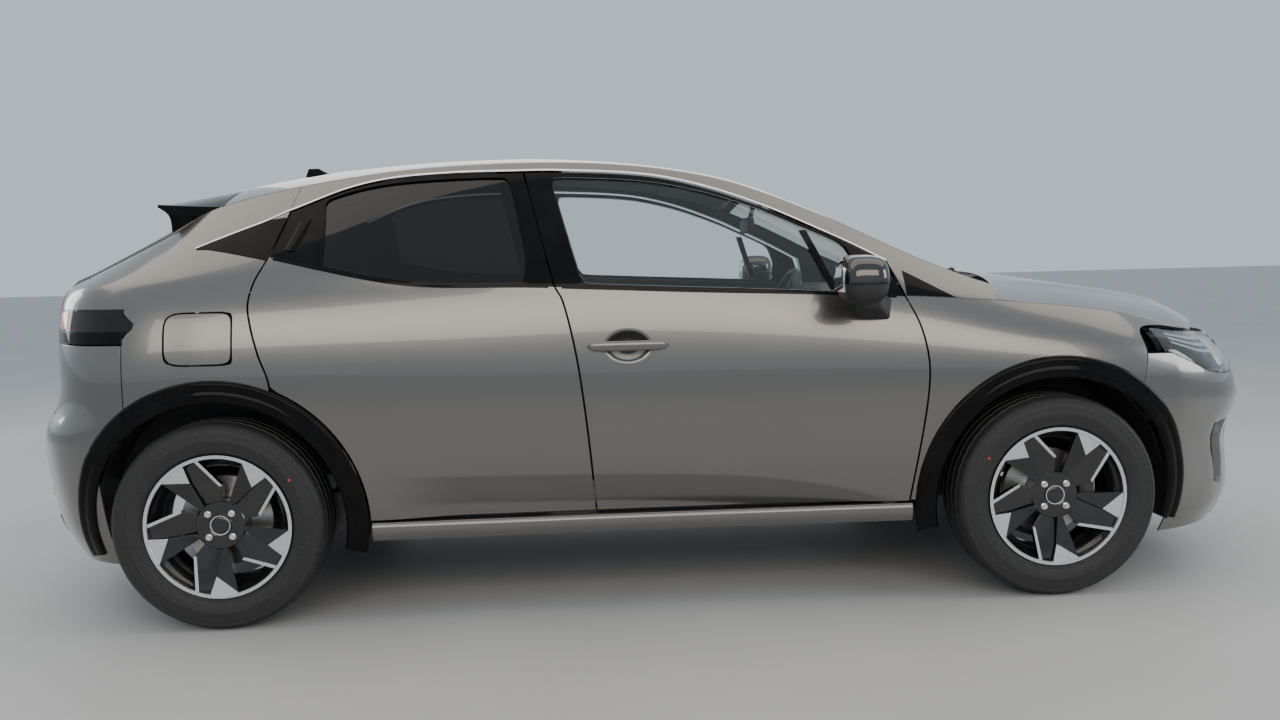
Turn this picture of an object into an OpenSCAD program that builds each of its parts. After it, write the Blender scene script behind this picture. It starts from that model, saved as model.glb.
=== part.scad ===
// Five-door hatchback: a hollow body of separate panels, with doors, tailgate,
// bonnet, filler flap, steered front wheels and free-turning wheels.
// Millimetres. X runs to the nose, Y to the left side, Z up from the floor,
// with the origin on the floor at the middle of the length and width.

/* [Overall] */
// Distance between the axles
wheelbase = 2591; // [2400:1:2800]
// Front axle to the nose
front_overhang = 845; // [780:1:920]
// Rear axle to the tail
rear_overhang = 680; // [620:1:760]
// Width over the arch trims
body_w = 1768; // [1650:1:1900]
// Height of the roof
body_h = 1451; // [1380:1:1550]
// Distance between the wheels' middle planes
track = 1540; // [1480:1:1600]

/* [Wheels] */
// Outside diameter of the tyre
tyre_d = 640; // [600:1:670]
// Width of the tyre
tyre_w = 196; // [165:1:225]
// Diameter of the rim's flange
rim_d = 441; // [410:1:470]
// Width of the rim
rim_w = 176; // [150:1:200]
// Diameter of the bolt circle
bolt_circle_d = 100; // [98:1:112]
// Diameter of the brake discs
disc_d = 280; // [250:1:300]
// Number of spokes
spoke_count = 5; // [4:1:7]

/* [Panels] */
// Gap round every panel that opens
shut_gap = 6; // [6:0.5:9]
// Thickness of a door below its window
door_t = 92; // [80:1:100]
// Thickness of a door's window frame
frame_t = 42; // [32:1:45]
// Thickness of a skin with nothing behind it
skin_t = 5; // [4:0.5:7]
// Thickness of the roof with its lining
roof_t = 20; // [16:1:24]
// Thickness of the bonnet and tailgate
lid_t = 28; // [20:1:36]
// Thickness of window glass
glass_t = 5; // [4:0.5:6]
// How far the arch trims stand out
arch_proud = 10; // [6:1:16]
// Inner radius of the arch trims
arch_in_r = 378; // [365:1:390]
// Outer radius of the arch trims
arch_out_r = 446; // [430:1:460]

/* [Hinges] */
// Radius of the hinge pins
pin_r = 5; // [4:0.5:6]
// Running clearance round a hinge pin
pin_clearance = 0.08; // [0.05:0.01:0.1]
// Distance from a door's front edge back to its hinge pin
hinge_back = 80; // [70:1:90]
// Depth of a door's hinge pin below the skin
hinge_in = 20; // [18:1:22]

/* [Filler flap] */
// Gap round the filler flap
flap_gap = 5; // [4:0.5:7]
// Thickness of the filler flap
flap_t = 3; // [2:0.5:4]
// Distance from the flap's front edge back to its pin
flap_pin_back = 24; // [20:1:28]
// Depth of the flap's pin below the skin
flap_pin_in = 9; // [8:0.5:11]
// Radius of the flap's pin
flap_pin_r = 2.5; // [2:0.1:3]

/* [Small sizes] */
// Lap of the roof and windscreen under the cant rails
rail_lap = 12; // [10:0.5:16]
// Depth of the side glass below the skin
glass_in = 8; // [6:0.5:10]
// How far the quarter trims stand out
trim_t = 3; // [2:0.5:4]
// Radius of the exhaust pipe
exhaust_r = 26; // [20:1:30]
// Radius of the steering pins in the front knuckles
kingpin_r = 9; // [8:0.5:11]
// Radius of the steering column
column_r = 14; // [11:0.5:16]
// Room between a brake disc and what stands beside it
disc_gap = 5; // [4:0.5:7]
// Hairline gap between pieces that touch
fine_gap = 0.4; // [0.3:0.05:0.6]
// Overlap of joined shapes and run-out of cuts
over = 1; // [0.8:0.1:1.5]

/* [Hidden] */
$fn = 48;
tiny_share = .001;

// Stations along the car: -1 tail, 0 rear axle, 1 front axle, 2 nose
x_nose = (wheelbase + front_overhang + rear_overhang) / 2;
x_tail = -x_nose;
x_front = x_nose - front_overhang;
x_rear = x_tail + rear_overhang;
tyre_r = tyre_d / 2;
half_w = body_w / 2 - arch_proud;
function station(s) =
    s < 0 ? x_rear + s * rear_overhang :
    s > 1 ? x_front + (s - 1) * front_overhang : x_rear + s * wheelbase;
function along_z(shares) = [for (p = shares) [station(p[0]), p[1] * body_h]];
function along_y(shares) = [for (p = shares) [station(p[0]), p[1] * half_w]];
function up_x(shares) = [for (p = shares) [p[0] * body_h, station(p[1])]];

// A smooth curve through a table of points
function span(t, x, i = 0) = i >= len(t) - 2 || x < t[i + 1][0] ? i : span(t, x, i + 1);
function rise(t, a, b) = (t[b][1] - t[a][1]) / (t[b][0] - t[a][0]);
function slope(t, i) =
    i == 0 ? rise(t, 0, 1) : i == len(t) - 1 ? rise(t, i - 1, i) : rise(t, i - 1, i + 1);
function curve(t, x) = let (
        i = span(t, x), h = t[i + 1][0] - t[i][0],
        q = min(1, max(0, (x - t[i][0]) / h)), q2 = q * q, q3 = q2 * q)
    (2 * q3 - 3 * q2 + 1) * t[i][1] + (q3 - 2 * q2 + q) * h * slope(t, i)
    + (3 * q2 - 2 * q3) * t[i + 1][1] + (q3 - q2) * h * slope(t, i + 1);
function mix(a, b, q) = a + (b - a) * q;
function part_of(q, a, b) = min(1, max(0, (q - a) / (b - a)));

// Feature lines of the body: station and share of the height or half width
waist_half_shares = [[-1, .985], [-.2, .99], [0, .997], [.3, .99], [.5, .982], [.8, .985], [1, .992],
    [2, .985]];
waist_z_shares = [[-1, .46], [0, .50], [.5, .46], [1, .48], [2, .44]];
shoulder_z_shares = [[-1, .70], [-.6, .715], [-.03, .727], [.2, .713], [.4, .698], [.57, .683], [.725, .67],
    [.868, .656], [1, .634], [1.221, .617], [1.4, .596], [1.576, .570], [1.7, .552], [1.813, .535],
        [2, .50]];
shoulder_half_shares = [[-1, .90], [-.5, .89], [0, .905], [.2, .925], [.5, .935], [.72, .93], [.868, .915],
    [1, .885], [1.25, .87], [1.6, .86], [2, .86]];
rail_z_shares = [[-1, .706], [-.8, .716], [-.63, .748], [-.29, .826], [-.05, .885], [.1, .93], [.25, .963],
    [.45, .966], [.6, .928], [.72, .848], [.85, .738], [.95, .672], [1.1, .645]];
rail_half_shares = [[-1, 1], [-.738, .92], [-.63, .80], [-.29, .672], [-.05, .655], [.1, .672], [.25, .685],
    [.45, .692], [.6, .705], [.72, .74], [.85, .80], [.95, .84], [1.1, .86]];
top_z_shares = [[-1, .70], [-.86, .728], [-.63, .790], [-.47, .828], [-.33, .868], [-.18, .91],
    [-.02, .947],
    [.059, .968], [.112, .981], [.192, .992], [.2725, .999], [.367, 1], [.461, .99], [.57, .965],
        [.652, .93],
    [.735, .8725], [.805, .812], [.875, .746], [.917, .714], [.941, .693], [1, .66]];
bonnet_z_shares = [[.93, .707], [1, .698], [1.22, .677], [1.44, .655], [1.655, .624], [1.813, .586],
    [1.908, .548], [2, .49]];
nose_x_shares = [[.10, 1.90], [.125, 1.93], [.18, 1.985], [.25, 1.975], [.32, 1.95], [.40, 2], [.46, 1.98],
    [.52, 1.935], [.56, 1.885], [.59, 1.80], [.62, 1.69], [.66, 1.46], [.70, 1.08], [.8, 1.08]];
tail_x_shares = [[.12, -.84], [.2, -.945], [.28, -.98], [.37, -1], [.42, -.98], [.46, -.92], [.5, -.895],
    [.6, -.893], [.68, -.885], [.71, -.86], [.745, -.77], [.787, -.63], [.825, -.47], [.866, -.33],
        [.9, -.26],
    [1, -.24]];
waist_half = along_y(waist_half_shares);
waist_z = along_z(waist_z_shares);
shoulder_z = along_z(shoulder_z_shares);
shoulder_half = along_y(shoulder_half_shares);
rail_z = along_z(rail_z_shares);
rail_half = along_y(rail_half_shares);
top_z = along_z(top_z_shares);
bonnet_z = along_z(bonnet_z_shares);
nose_x = up_x(nose_x_shares);
tail_x = up_x(tail_x_shares);

// Where the plan view starts to round into the nose and tail, and how squarely
front_corner_share = 1.044;
rear_corner_share = -.18;
front_corner_x = station(front_corner_share);
rear_corner_x = station(rear_corner_share);
front_square = 2.8;
rear_square = 3;
shoulder_round = 2.4;
glass_round = 1.2;
crown_round = 2.5;
nose_round = 4.2;
nose_square_share = 1.6;
tuck_share = .062;
sill_z_share = .165;

function section_half(x, z) = let (
        p = curve(waist_half, x), zw = curve(waist_z, x),
        zs = curve(shoulder_z, x), ys = curve(shoulder_half, x),
        zr = max(curve(rail_z, x), zs + over), yr = curve(rail_half, x))
    z < zw ? p - tuck_share * half_w * pow((zw - z) / (zw - sill_z_share * body_h), 2) :
    z < zs ? p - (p - ys) * pow((z - zw) / (zs - zw), shoulder_round) :
    ys - (ys - yr) * pow((z - zs) / (zr - zs), glass_round);
function round_off(t, n) = t <= 0 ? 1 : t >= 1 ? 0 : pow(1 - pow(t, n), 1 / n);
function taper(x, z) =
    x > front_corner_x ? round_off((x - front_corner_x) / (curve(nose_x, z) - front_corner_x),
        front_square) :
    x < rear_corner_x ? round_off((rear_corner_x - x) / (rear_corner_x - curve(tail_x, z)),
        rear_square) : 1;
// Half width of the body's skin at a place seen from the side
function side_half(x, z) = section_half(x, z) * taper(x, z);
// Right side is at -Y
function side(x, z, inward = 0) = [x, -side_half(x, z) + inward, z];
function crown(top, edge_z, edge_half, y, n = crown_round) =
    top - (top - edge_z) * pow(min(1, abs(y) / edge_half), n);
function top(x, y, down = 0) = let (zr = curve(rail_z, x))
    [x, y, crown(curve(top_z, x), zr, side_half(x, zr), y) - down];
function bonnet_top(x, y, down = 0) = let (zs = curve(shoulder_z, x))
    [x, y, crown(curve(bonnet_z, x), zs, side_half(x, zs), y,
        mix(crown_round, nose_round, part_of(x, x_front, station(nose_square_share)))) - down];
// The nose and tail by plan angle: 0 on the middle line, 90 on the right side
function wrap(a, n) = pow(max(0, cos(abs(a))), 2 / n);
function nose(a, z, inward = 0) = let (
        x = front_corner_x + (curve(nose_x, z) - front_corner_x) * wrap(a, front_square),
        y = side_half(x, z))
    [x - inward * cos(a), -sign(a) * (abs(a) < tiny_share ? 0 : y - inward * sin(abs(a))), z];
function tail(a, z, inward = 0) = let (
        x = rear_corner_x - (rear_corner_x - curve(tail_x, z)) * wrap(a, rear_square), y = side_half(x, z))
    [x + inward * cos(a), -sign(a) * (abs(a) < tiny_share ? 0 : y - inward * sin(abs(a))), z];

// A closed shell between an outer and an inner surface over a grid of parameters.
// keep(i, j) leaves cells out, which makes openings.
module shell(outer, inner, us, vs, keep = function (i, j) true) {
    nu = len(us);
    nv = len(vs);
    points = [for (face = [outer, inner]) for (v = vs) for (u = us) face(u, v)];
    function id(i, j, k) = (k * nv + j) * nu + i;
    function kept(i, j) = i >= 0 && j >= 0 && i < nu - 1 && j < nv - 1 && keep(i, j);
    function quad(a, b, c, d) = [[a, b, c], [a, c, d]];
    faces = [for (j = [0 : nv - 2]) for (i = [0 : nu - 2]) if (kept(i, j)) each [
        each quad(id(i, j, 0), id(i, j + 1, 0), id(i + 1, j + 1, 0), id(i + 1, j, 0)),
        each quad(id(i, j, 1), id(i + 1, j, 1), id(i + 1, j + 1, 1), id(i, j + 1, 1)),
        if (!kept(i, j - 1)) each quad(id(i, j, 0), id(i + 1, j, 0), id(i + 1, j, 1), id(i, j, 1)),
        if (!kept(i, j + 1)) each quad(id(i + 1, j + 1, 0), id(i, j + 1, 0), id(i, j + 1, 1),
            id(i + 1, j + 1, 1)),
        if (!kept(i - 1, j)) each quad(id(i, j + 1, 0), id(i, j, 0), id(i, j, 1), id(i, j + 1, 1)),
        if (!kept(i + 1, j)) each quad(id(i + 1, j, 0), id(i + 1, j + 1, 0), id(i + 1, j + 1, 1),
            id(i + 1, j, 1))]];
    // turned the right way out whichever way the grid runs
    volume = [for (f = faces) points[f[0]] * cross(points[f[1]], points[f[2]])] * [for (f = faces) 1];
    polyhedron(points, volume < 0 ? faces : [for (f = faces) [f[2], f[1], f[0]]], convexity = 6);
}
function steps(a, b, n) = [for (i = [0 : n]) mix(a, b, i / n)];
module both_sides() {
    children();
    mirror([0, 1, 0]) children();
}

// Shut lines and window lines: height share against station, or the reverse
front_shut_shares = [[.165, .819], [.214, .8205], [.423, .8375], [.498, .841], [.5486, .8387],
    [.605, .8313],
    [.658, .8182], [.6926, .8086], [.73, .799], [.8, .779], [.9, .748], [1, .725]];
middle_shut_shares = [[.165, .4438], [.218, .4408], [.357, .4346], [.495, .4265], [.588, .4184],
    [.674, .4068],
    [.702, .3983], [.917, .3674], [1, .3555]];
rear_shut_shares = [[.165, .06], [.508, .0691], [.579, .0571], [.6416, .0482], [.6795, .0452],
    [.7223, .0498],
    [.7657, .0614], [.7994, .0695], [.8698, .0822], [1, .1034]];
belt_shares = [[-.107, .796], [-.0235, .7946], [.0668, .7684], [.1285, .745], [.2046, .718], [.2605, .7078],
    [.3667, .703], [.4411, .696], [.5693, .6837], [.7252, .6713], [.817, .66], [.8607, .658], [.9, .656]];
window_top_shares = [[-.107, .796], [.0216, .831], [.088, .8746], [.147, .9152], [.1988, .9359],
    [.2721, .9456],
    [.3462, .9469], [.4053, .9462], [.5129, .9331], [.5851, .9049], [.6577, .8587], [.7086, .8174],
        [.765, .7684],
    [.8367, .6988], [.8827, .6533], [.92, .62]];
front_shut = up_x(front_shut_shares);
middle_shut = up_x(middle_shut_shares);
rear_shut = up_x(rear_shut_shares);
belt = along_z(belt_shares);
window_top = along_z(window_top_shares);
door_low_share = .2165;
door_low_z = door_low_share * body_h;
waist_share = .46;
belt_share = .69;
half_gap = shut_gap / 2;
arch_cut_r = arch_out_r - 2 * arch_proud;

// Distance along X from a wheel's middle to an arch of the given radius
function arch_reach(r, z) = z > tyre_r ? sqrt(max(0, r * r - (z - tyre_r) * (z - tyre_r))) : r;
function arch_top(x, axle_x, r) = let (d = abs(x - axle_x)) d < r ? tyre_r + sqrt(r * r - d * d) : tyre_r;

function front_door_lead(z) = curve(front_shut, z) - half_gap;
function front_door_trail(z) = curve(middle_shut, z) + half_gap;
function rear_door_lead(z) = curve(middle_shut, z) - half_gap;
function rear_door_trail(z) = max(curve(rear_shut, z) + half_gap,
    x_rear + arch_reach(arch_out_r + shut_gap, z));

// Hinge pins of the doors
function pin_at(lead, share) = let (x = lead(share * body_h) - hinge_back)
    [x, -side_half(x, waist_share * body_h) + hinge_in];
front_pin_share = .498;
front_pin = pin_at(function (z) front_door_lead(z), front_pin_share);
rear_pin = pin_at(function (z) rear_door_lead(z), waist_share);
hinge_z_shares = [.41, .505];
hinge_h = body_h * .028;
barrel_r = pin_r * 1.6;
hinge_strip = hinge_back * .4;

// Place on a door, seen from the side: u from front to rear, v from bottom to belt to top.
// The first columns cover the thin strip over the hinges.
door_belt_v = .6;
strip_u = .06;
function door_x(lead, trail, pin_x, u, z) = let (strip_x = min(pin_x - hinge_strip, lead(z) - shut_gap))
    u <= strip_u ? mix(lead(z), strip_x, u / strip_u)
        : mix(strip_x, trail(z), (u - strip_u) / (1 - strip_u));
function door_xz(lead, trail, pin_x, u, v) = let (
        x0 = door_x(lead, trail, pin_x, u, belt_share * body_h),
        x1 = door_x(lead, trail, pin_x, u, curve(window_top, x0)),
        x2 = door_x(lead, trail, pin_x, u, curve(window_top, x1)),
        low = v <= door_belt_v,
        q = low ? v / door_belt_v : (v - door_belt_v) / (1 - door_belt_v),
        z = low ? mix(door_low_z + half_gap, curve(belt, x0), q)
            : mix(curve(belt, x0), curve(window_top, x2), q))
    [door_x(lead, trail, pin_x, u, z), z];

// Windows: the parts of a door's grid that are left open
front_window_u_shares = [.214, .90];
rear_window_u_shares = [.118, .792];
window_v_shares = [.615, .955];
door_lower_v_shares = [0, .1, .2, .3, .4, .5, .6];
function door_us(w, n) = concat([0, strip_u, strip_u * 1.08], steps(w[0], w[1], n), [(w[1] + 1) / 2, 1]);
door_vs = concat(door_lower_v_shares, steps(window_v_shares[0], window_v_shares[1], 5), [1]);
low_rows = len(door_lower_v_shares);
function door_depth(u, v) = v > door_belt_v + tiny_share ? frame_t : u <= strip_u ? skin_t : door_t;

module door_panel(lead, trail, window, pin_x, columns = 8) {
    us = door_us(window, columns);
    function at(u, v, inward) = let (p = door_xz(lead, trail, pin_x, u, v)) side(p[0], p[1], inward);
    shell(function (u, v) at(u, v, 0), function (u, v) at(u, v, door_depth(u, v)), us, door_vs,
        function (i, j) !(i >= 3 && i < 3 + columns && j >= low_rows && j < len(door_vs) - 2));
}
module door_window(lead, trail, window, pin_x, columns = 8) {
    rim = fine_gap / wheelbase;
    us = steps(window[0] + 4 * rim, window[1] - 4 * rim, columns);
    vs = steps(window_v_shares[0] + 8 * rim, window_v_shares[1] - 8 * rim, 5);
    function at(u, v, inward) = let (p = door_xz(lead, trail, pin_x, u, v)) side(p[0], p[1], inward);
    shell(function (u, v) at(u, v, glass_in), function (u, v) at(u, v, glass_in + glass_t), us, vs);
}
// Door halves of the hinges: a barrel on the pin with an arm back to the door
module door_hinge(pin, z) {
    arm = hinge_strip + pin_r;
    translate([pin[0], pin[1], z + fine_gap])
        difference() {
            union() {
                cylinder(h = hinge_h, r = barrel_r);
                translate([-arm, -barrel_r / 2, 0]) cube([arm, barrel_r, hinge_h]);
            }
            translate([0, 0, -over]) cylinder(h = hinge_h + 2 * over, r = pin_r + pin_clearance);
        }
}
// Body halves: a pin on a block with an arm straight in to the pillar
module body_hinge(pin, z) {
    arm = door_t - hinge_in + 10 * over;
    translate([pin[0], pin[1], z]) {
        translate([0, 0, -hinge_h]) cylinder(h = hinge_h, r = barrel_r);
        translate([-barrel_r, 0, -hinge_h]) cube([2 * barrel_r, arm, hinge_h]);
        cylinder(h = hinge_h, r = pin_r);
    }
}
handle_l = wheelbase * .088;
handle_h = body_h * .018;
handle_x_share = .486;
handle_z_share = .573;
handle_off = body_w * .02;
module door_handle() {
    x = station(handle_x_share);
    z = handle_z_share * body_h;
    y = -side_half(x, z) - handle_off;
    translate([x, y, z]) {
        hull() for (d = [-1, 1])
            translate([d * (handle_l - handle_h) / 2, 0, 0])
                rotate([-90, 0, 0]) cylinder(h = handle_h / 2, r = handle_h / 2);
        for (d = [-1, 1])
            translate([d * (handle_l / 2 - handle_h) - handle_h / 2, handle_h / 2, -handle_h / 3])
                cube([handle_h, handle_off - handle_h / 2 - fine_gap, handle_h * 2 / 3]);
    }
}
module right_front_door_shape() {
    door_panel(function (z) front_door_lead(z), function (z) front_door_trail(z), front_window_u_shares,
        front_pin[0]);
    for (s = hinge_z_shares) door_hinge(front_pin, s * body_h);
    door_handle();
}
module right_rear_door_shape() {
    door_panel(function (z) rear_door_lead(z), function (z) rear_door_trail(z), rear_window_u_shares,
        rear_pin[0]);
    for (s = hinge_z_shares) door_hinge(rear_pin, s * body_h);
}
paint = [.60, .58, .55];
dark = [.05, .05, .055];
metal = [.45, .45, .47];
tint = [.2, .25, .27, .5];
module right_front_door() { color(paint) right_front_door_shape(); }
module left_front_door() { color(paint) mirror([0, 1, 0]) right_front_door_shape(); }
module right_rear_door() { color(paint) right_rear_door_shape(); }
module left_rear_door() { color(paint) mirror([0, 1, 0]) right_rear_door_shape(); }
module right_front_glass_shape() {
    door_window(function (z) front_door_lead(z), function (z) front_door_trail(z), front_window_u_shares,
        front_pin[0]);
}
module right_rear_glass_shape() {
    door_window(function (z) rear_door_lead(z), function (z) rear_door_trail(z), rear_window_u_shares,
        rear_pin[0]);
}
module right_front_glass() { color(tint) right_front_glass_shape(); }
module left_front_glass() { color(tint) mirror([0, 1, 0]) right_front_glass_shape(); }
module right_rear_glass() { color(tint) right_rear_glass_shape(); }
module left_rear_glass() { color(tint) mirror([0, 1, 0]) right_rear_glass_shape(); }

// Outside mirrors, on the front doors
mirror_x_share = .745;
mirror_z_share = .657;
mirror_out = body_w * .082;
mirror_h = body_h * .098;
mirror_w = body_w * .118;
mirror_t = wheelbase * .055;
module right_mirror_shape() {
    x = station(mirror_x_share);
    foot_x = x + mirror_t * .65;
    z = mirror_z_share * body_h;
    y = -side_half(x, z);
    hull() for (dy = [0, 1]) for (dz = [0, 1])
        translate([x, y - mirror_out / 3 - dy * mirror_w * .72 - mirror_h * .2,
            z + mirror_h * .22 + dz * mirror_h * (.56 - .1 * dy)])
            scale([mirror_t / mirror_h * 1.6, 1, 1]) sphere(r = mirror_h * .22, $fn = 20);
    hull() {
        translate([x + mirror_t * .2, y - mirror_out / 2, z - mirror_h * .04])
            scale([1.6, 1.4, .8]) sphere(r = mirror_h * .2, $fn = 16);
        translate([foot_x, -side_half(foot_x, z - mirror_h / 2) - fine_gap, z - mirror_h * .25])
            rotate([90, 0, 0]) cylinder(h = over, r = mirror_h * .22);
    }
}
module right_mirror() { color(dark) right_mirror_shape(); }
module left_mirror() { color(dark) mirror([0, 1, 0]) right_mirror_shape(); }

// Body side: cant rail, centre pillar, hinge pillar and sill, inside the doors
pillar_in = door_t + 3 * over + half_gap * 3;
pillar_t = body_w * .05;
sill_top_share = .275;
sill_low_share = .17;
rail_ends_shares = [.935, .096];
rail_t = frame_t + 4 * shut_gap;
pillar_half = wheelbase * .022;
pillar_rear_share = 1.6;
pillar_step_share = .715;
corner_share = .66;
corner_back_share = .016;
hinge_post_share = .645;
module side_frame_shape() {
    // cant rail, ending in a painted corner between door, wing and windscreen
    split = curve(front_shut, corner_share * body_h) + half_gap;
    tip = split - corner_back_share * wheelbase;
    rail_us = concat(steps(station(rail_ends_shares[0]), split, 5),
        steps(tip, station(rail_ends_shares[1]), 18));
    function rail_low(x) = x >= split ? curve(shoulder_z, x) + fine_gap : curve(window_top, x) + shut_gap;
    function rail_row(x, j) = mix(rail_low(x), curve(rail_z, x) - fine_gap, [0, .3, 1][j]);
    // the last column follows the front edge of the quarter panel
    function rail_end(x, j) = quarter_front(rail_row(x, j)) + fine_gap;
    function rail_x(x, j) = x > station(rail_ends_shares[1]) + over ? x : rail_end(rail_end(x, j), j);
    function rail_at(x, j, inner) = let (x1 = rail_x(x, j))
        side(x1, rail_row(x1, j), inner ? (j == 0 && x < split ? rail_t : rail_lap) : 0);
    shell(function (x, j) rail_at(x, j, false), function (x, j) rail_at(x, j, true), rail_us, [0, 1, 2]);
    function post_in(z, inward) =
        inward - (pillar_in - frame_t - 2 * shut_gap) * min(1,
            5 * part_of(z, pillar_step_share * body_h, body_h));
    post_low = sill_top_share * body_h + fine_gap;
    // centre pillar, between sill and rail
    function centre_at(u, v, inward) = let (
            x1 = mix(1, -pillar_rear_share, u) * pillar_half,
            high = curve(window_top, curve(middle_shut, body_h) + x1) + shut_gap - fine_gap,
            z = mix(post_low, high, v))
        side(curve(middle_shut, z) + x1, z, post_in(z, inward));
    shell(function (u, v) centre_at(u, v, pillar_in), function (u, v) centre_at(u, v, pillar_in + pillar_t),
        steps(0, 1, 2), steps(0, 1, 12));
    // hinge pillar, between sill and scuttle
    function hinge_post_at(u, v, inward) = let (
            z = mix(post_low, hinge_post_share * body_h, v))
        side(front_pin[0] + mix(1.2, -.25, u) * pillar_half, z, inward);
    shell(function (u, v) hinge_post_at(u, v, pillar_in), function (u, v)
        hinge_post_at(u, v, pillar_in + pillar_t),
        steps(0, 1, 2), steps(0, 1, 8));
    // sill
    function sill_at(x, v, inward) = side(x, mix(sill_low_share, sill_top_share, v) * body_h, inward);
    shell(function (x, v) sill_at(x, v, pillar_in + fine_gap), function (x, v)
        sill_at(x, v, pillar_in + pillar_t * 1.4),
        steps(front_pin[0] + pillar_half * 1.2, x_rear + arch_out_r, 8), steps(0, 1, 2));
}
module side_frames() { color(paint) both_sides() side_frame_shape(); }

// Rear quarter: columns along the car, rows up it, with the lamp, bumper and filler flap left open
quarter_column_shares = [.055, .04, .0289, -.1925, -.309, -.37, -.46, -.6, -.738];
flap_z_shares = [.557, .667];
function quarter_front(z) = curve(rear_shut, max(z, rear_shut[1][0])) - half_gap;
lamp_z_shares = [.604, .676];
module quarter_shape(flap) {
    columns = [0, 1, 2, 3, 4, 5, 6, 7, 8];
    c = [for (s = quarter_column_shares) station(s)];
    rows = [0, 1, 2, 3, 4, 5, 6, 7];
    function row_z(j, x) =
        j == 0 ? arch_top(x, x_rear, arch_cut_r) :
        j == 1 ? max(flap_z_shares[0] * body_h, arch_top(x, x_rear, arch_out_r)) :
        j == 2 ? lamp_z_shares[0] * body_h :
        j == 3 ? flap_z_shares[1] * body_h :
        j == 4 ? lamp_z_shares[1] * body_h :
        mix(lamp_z_shares[1] * body_h, curve(rail_z, x) - fine_gap, (j - 4) / 3);
    function at(i, j, inward) = let (
            x1 = c[i], z1 = row_z(j, x1),
            x = i == 0 ? quarter_front(z1) : i == 1 ? mix(quarter_front(z1), c[2], .5) : x1,
            z = i < 2 ? row_z(j, x) : z1)
        side(i == 0 ? quarter_front(z) : x, z, inward);
    shell(function (i, j) at(i, j, 0), function (i, j) at(i, j, skin_t), columns, rows,
        function (i, j) !(flap && i == 2 && j >= 1 && j < 3) && !(i >= 4 && j >= 2 && j < 4)
            && !(i >= 5 && j < 4));
}
module quarter_panels() {
    color(paint) {
        quarter_shape(true);
        mirror([0, 1, 0]) quarter_shape(false);
    }
}

// Black corner trims behind the rear doors, on the skin
trim_rear_share = -.09;
module quarter_trim_shape() {
    function at(u, v, out) = let (
            x0 = mix(rear_door_trail(curve(belt, x_rear)) - 2 * shut_gap, station(trim_rear_share), u),
            z = mix(curve(belt, x0), curve(window_top, x0), v))
        side(u == 0 ? rear_door_trail(z) - 2 * shut_gap : x0, z, -out);
    shell(function (u, v) at(u, v, trim_t), function (u, v) at(u, v, 3 * fine_gap), steps(0, 1, 4),
        steps(0, 1, 2));
}
module quarter_trims() { color(dark) both_sides() quarter_trim_shape(); }

// Filler flap on the right side, hinged along its front edge
flap_x_shares = [.0289, -.1925];
flap_hinge_h = body_h * .016;
flap_pin_x = station(flap_x_shares[0]) - flap_gap - flap_pin_back;
flap_mid_z = (flap_z_shares[0] + flap_z_shares[1]) / 2 * body_h;
flap_pin_y = flap_pin_in - min(side_half(flap_pin_x, flap_mid_z),
    side_half(flap_pin_x, flap_mid_z + flap_hinge_h));
flap_arm_y = flap_t + 2 * fine_gap - min([for (dx = [0, -flap_pin_back]) for (dz = [0, flap_hinge_h])
    side_half(flap_pin_x + dx, flap_mid_z + dz)]);
module fuel_flap() {
    x1 = station(flap_x_shares[0]) - flap_gap;
    x2 = station(flap_x_shares[1]) + flap_gap;
    color(paint) {
        shell(function (u, v) side(u, v), function (u, v) side(u, v, flap_t), steps(x1, x2, 4),
            steps(flap_z_shares[0] * body_h + flap_gap, flap_z_shares[1] * body_h - flap_gap, 4));
        translate([flap_pin_x, flap_pin_y, flap_mid_z + fine_gap]) difference() {
            union() {
                cylinder(h = flap_hinge_h, r = flap_pin_r * 1.8);
                translate([-flap_pin_back, flap_arm_y - flap_pin_y, 0])
                    cube([flap_pin_back, flap_pin_r * 1.6, flap_hinge_h]);
            }
            translate([0, 0, -over]) cylinder(h = flap_hinge_h + 2 * over, r = flap_pin_r + pin_clearance);
        }
    }
}
// Filler bowl with the flap's pin, behind the quarter panel
module filler_bowl() {
    r = flap_hinge_h * 1.6;
    depth = body_w * .04;
    color(dark) {
        translate([flap_pin_x, flap_pin_y, flap_mid_z]) {
            cylinder(h = flap_hinge_h, r = flap_pin_r);
            translate([0, 0, -flap_hinge_h]) cylinder(h = flap_hinge_h, r = flap_pin_r * 1.8);
            translate([-flap_pin_r, 0, -flap_hinge_h]) cube([2 * flap_pin_r, depth, flap_hinge_h]);
        }
        translate([flap_pin_x - 3 * r, flap_pin_y + depth - over, flap_mid_z - 2 * r])
            cube([4 * r, skin_t, 4 * r]);
    }
}

// Roof, with a thin rear edge over the tailgate's front strip
roof_front_share = .668;
roof_rear_share = -.024;
roof_edge_shares = [.04];
roof_ws = [-1, -.875, -.865, -.7, -.5, -.25, 0, .25, .5, .7, .865, .875, 1];
module roof() {
    xs = concat(steps(station(roof_front_share), station(roof_edge_shares[0]), 14),
        [station(roof_rear_share)]);
    function edge(x) = side_half(x, curve(rail_z, x)) - rail_lap - fine_gap;
    function depth(x, w) =
        x < station(roof_edge_shares[0]) + over || abs(w) > roof_ws[10] + tiny_share ? skin_t : roof_t;
    color(paint) shell(
        function (x, w) top(x, -w * edge(x)),
        function (x, w) top(x, -w * edge(x), depth(x, w)),
        xs, roof_ws);
}
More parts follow.
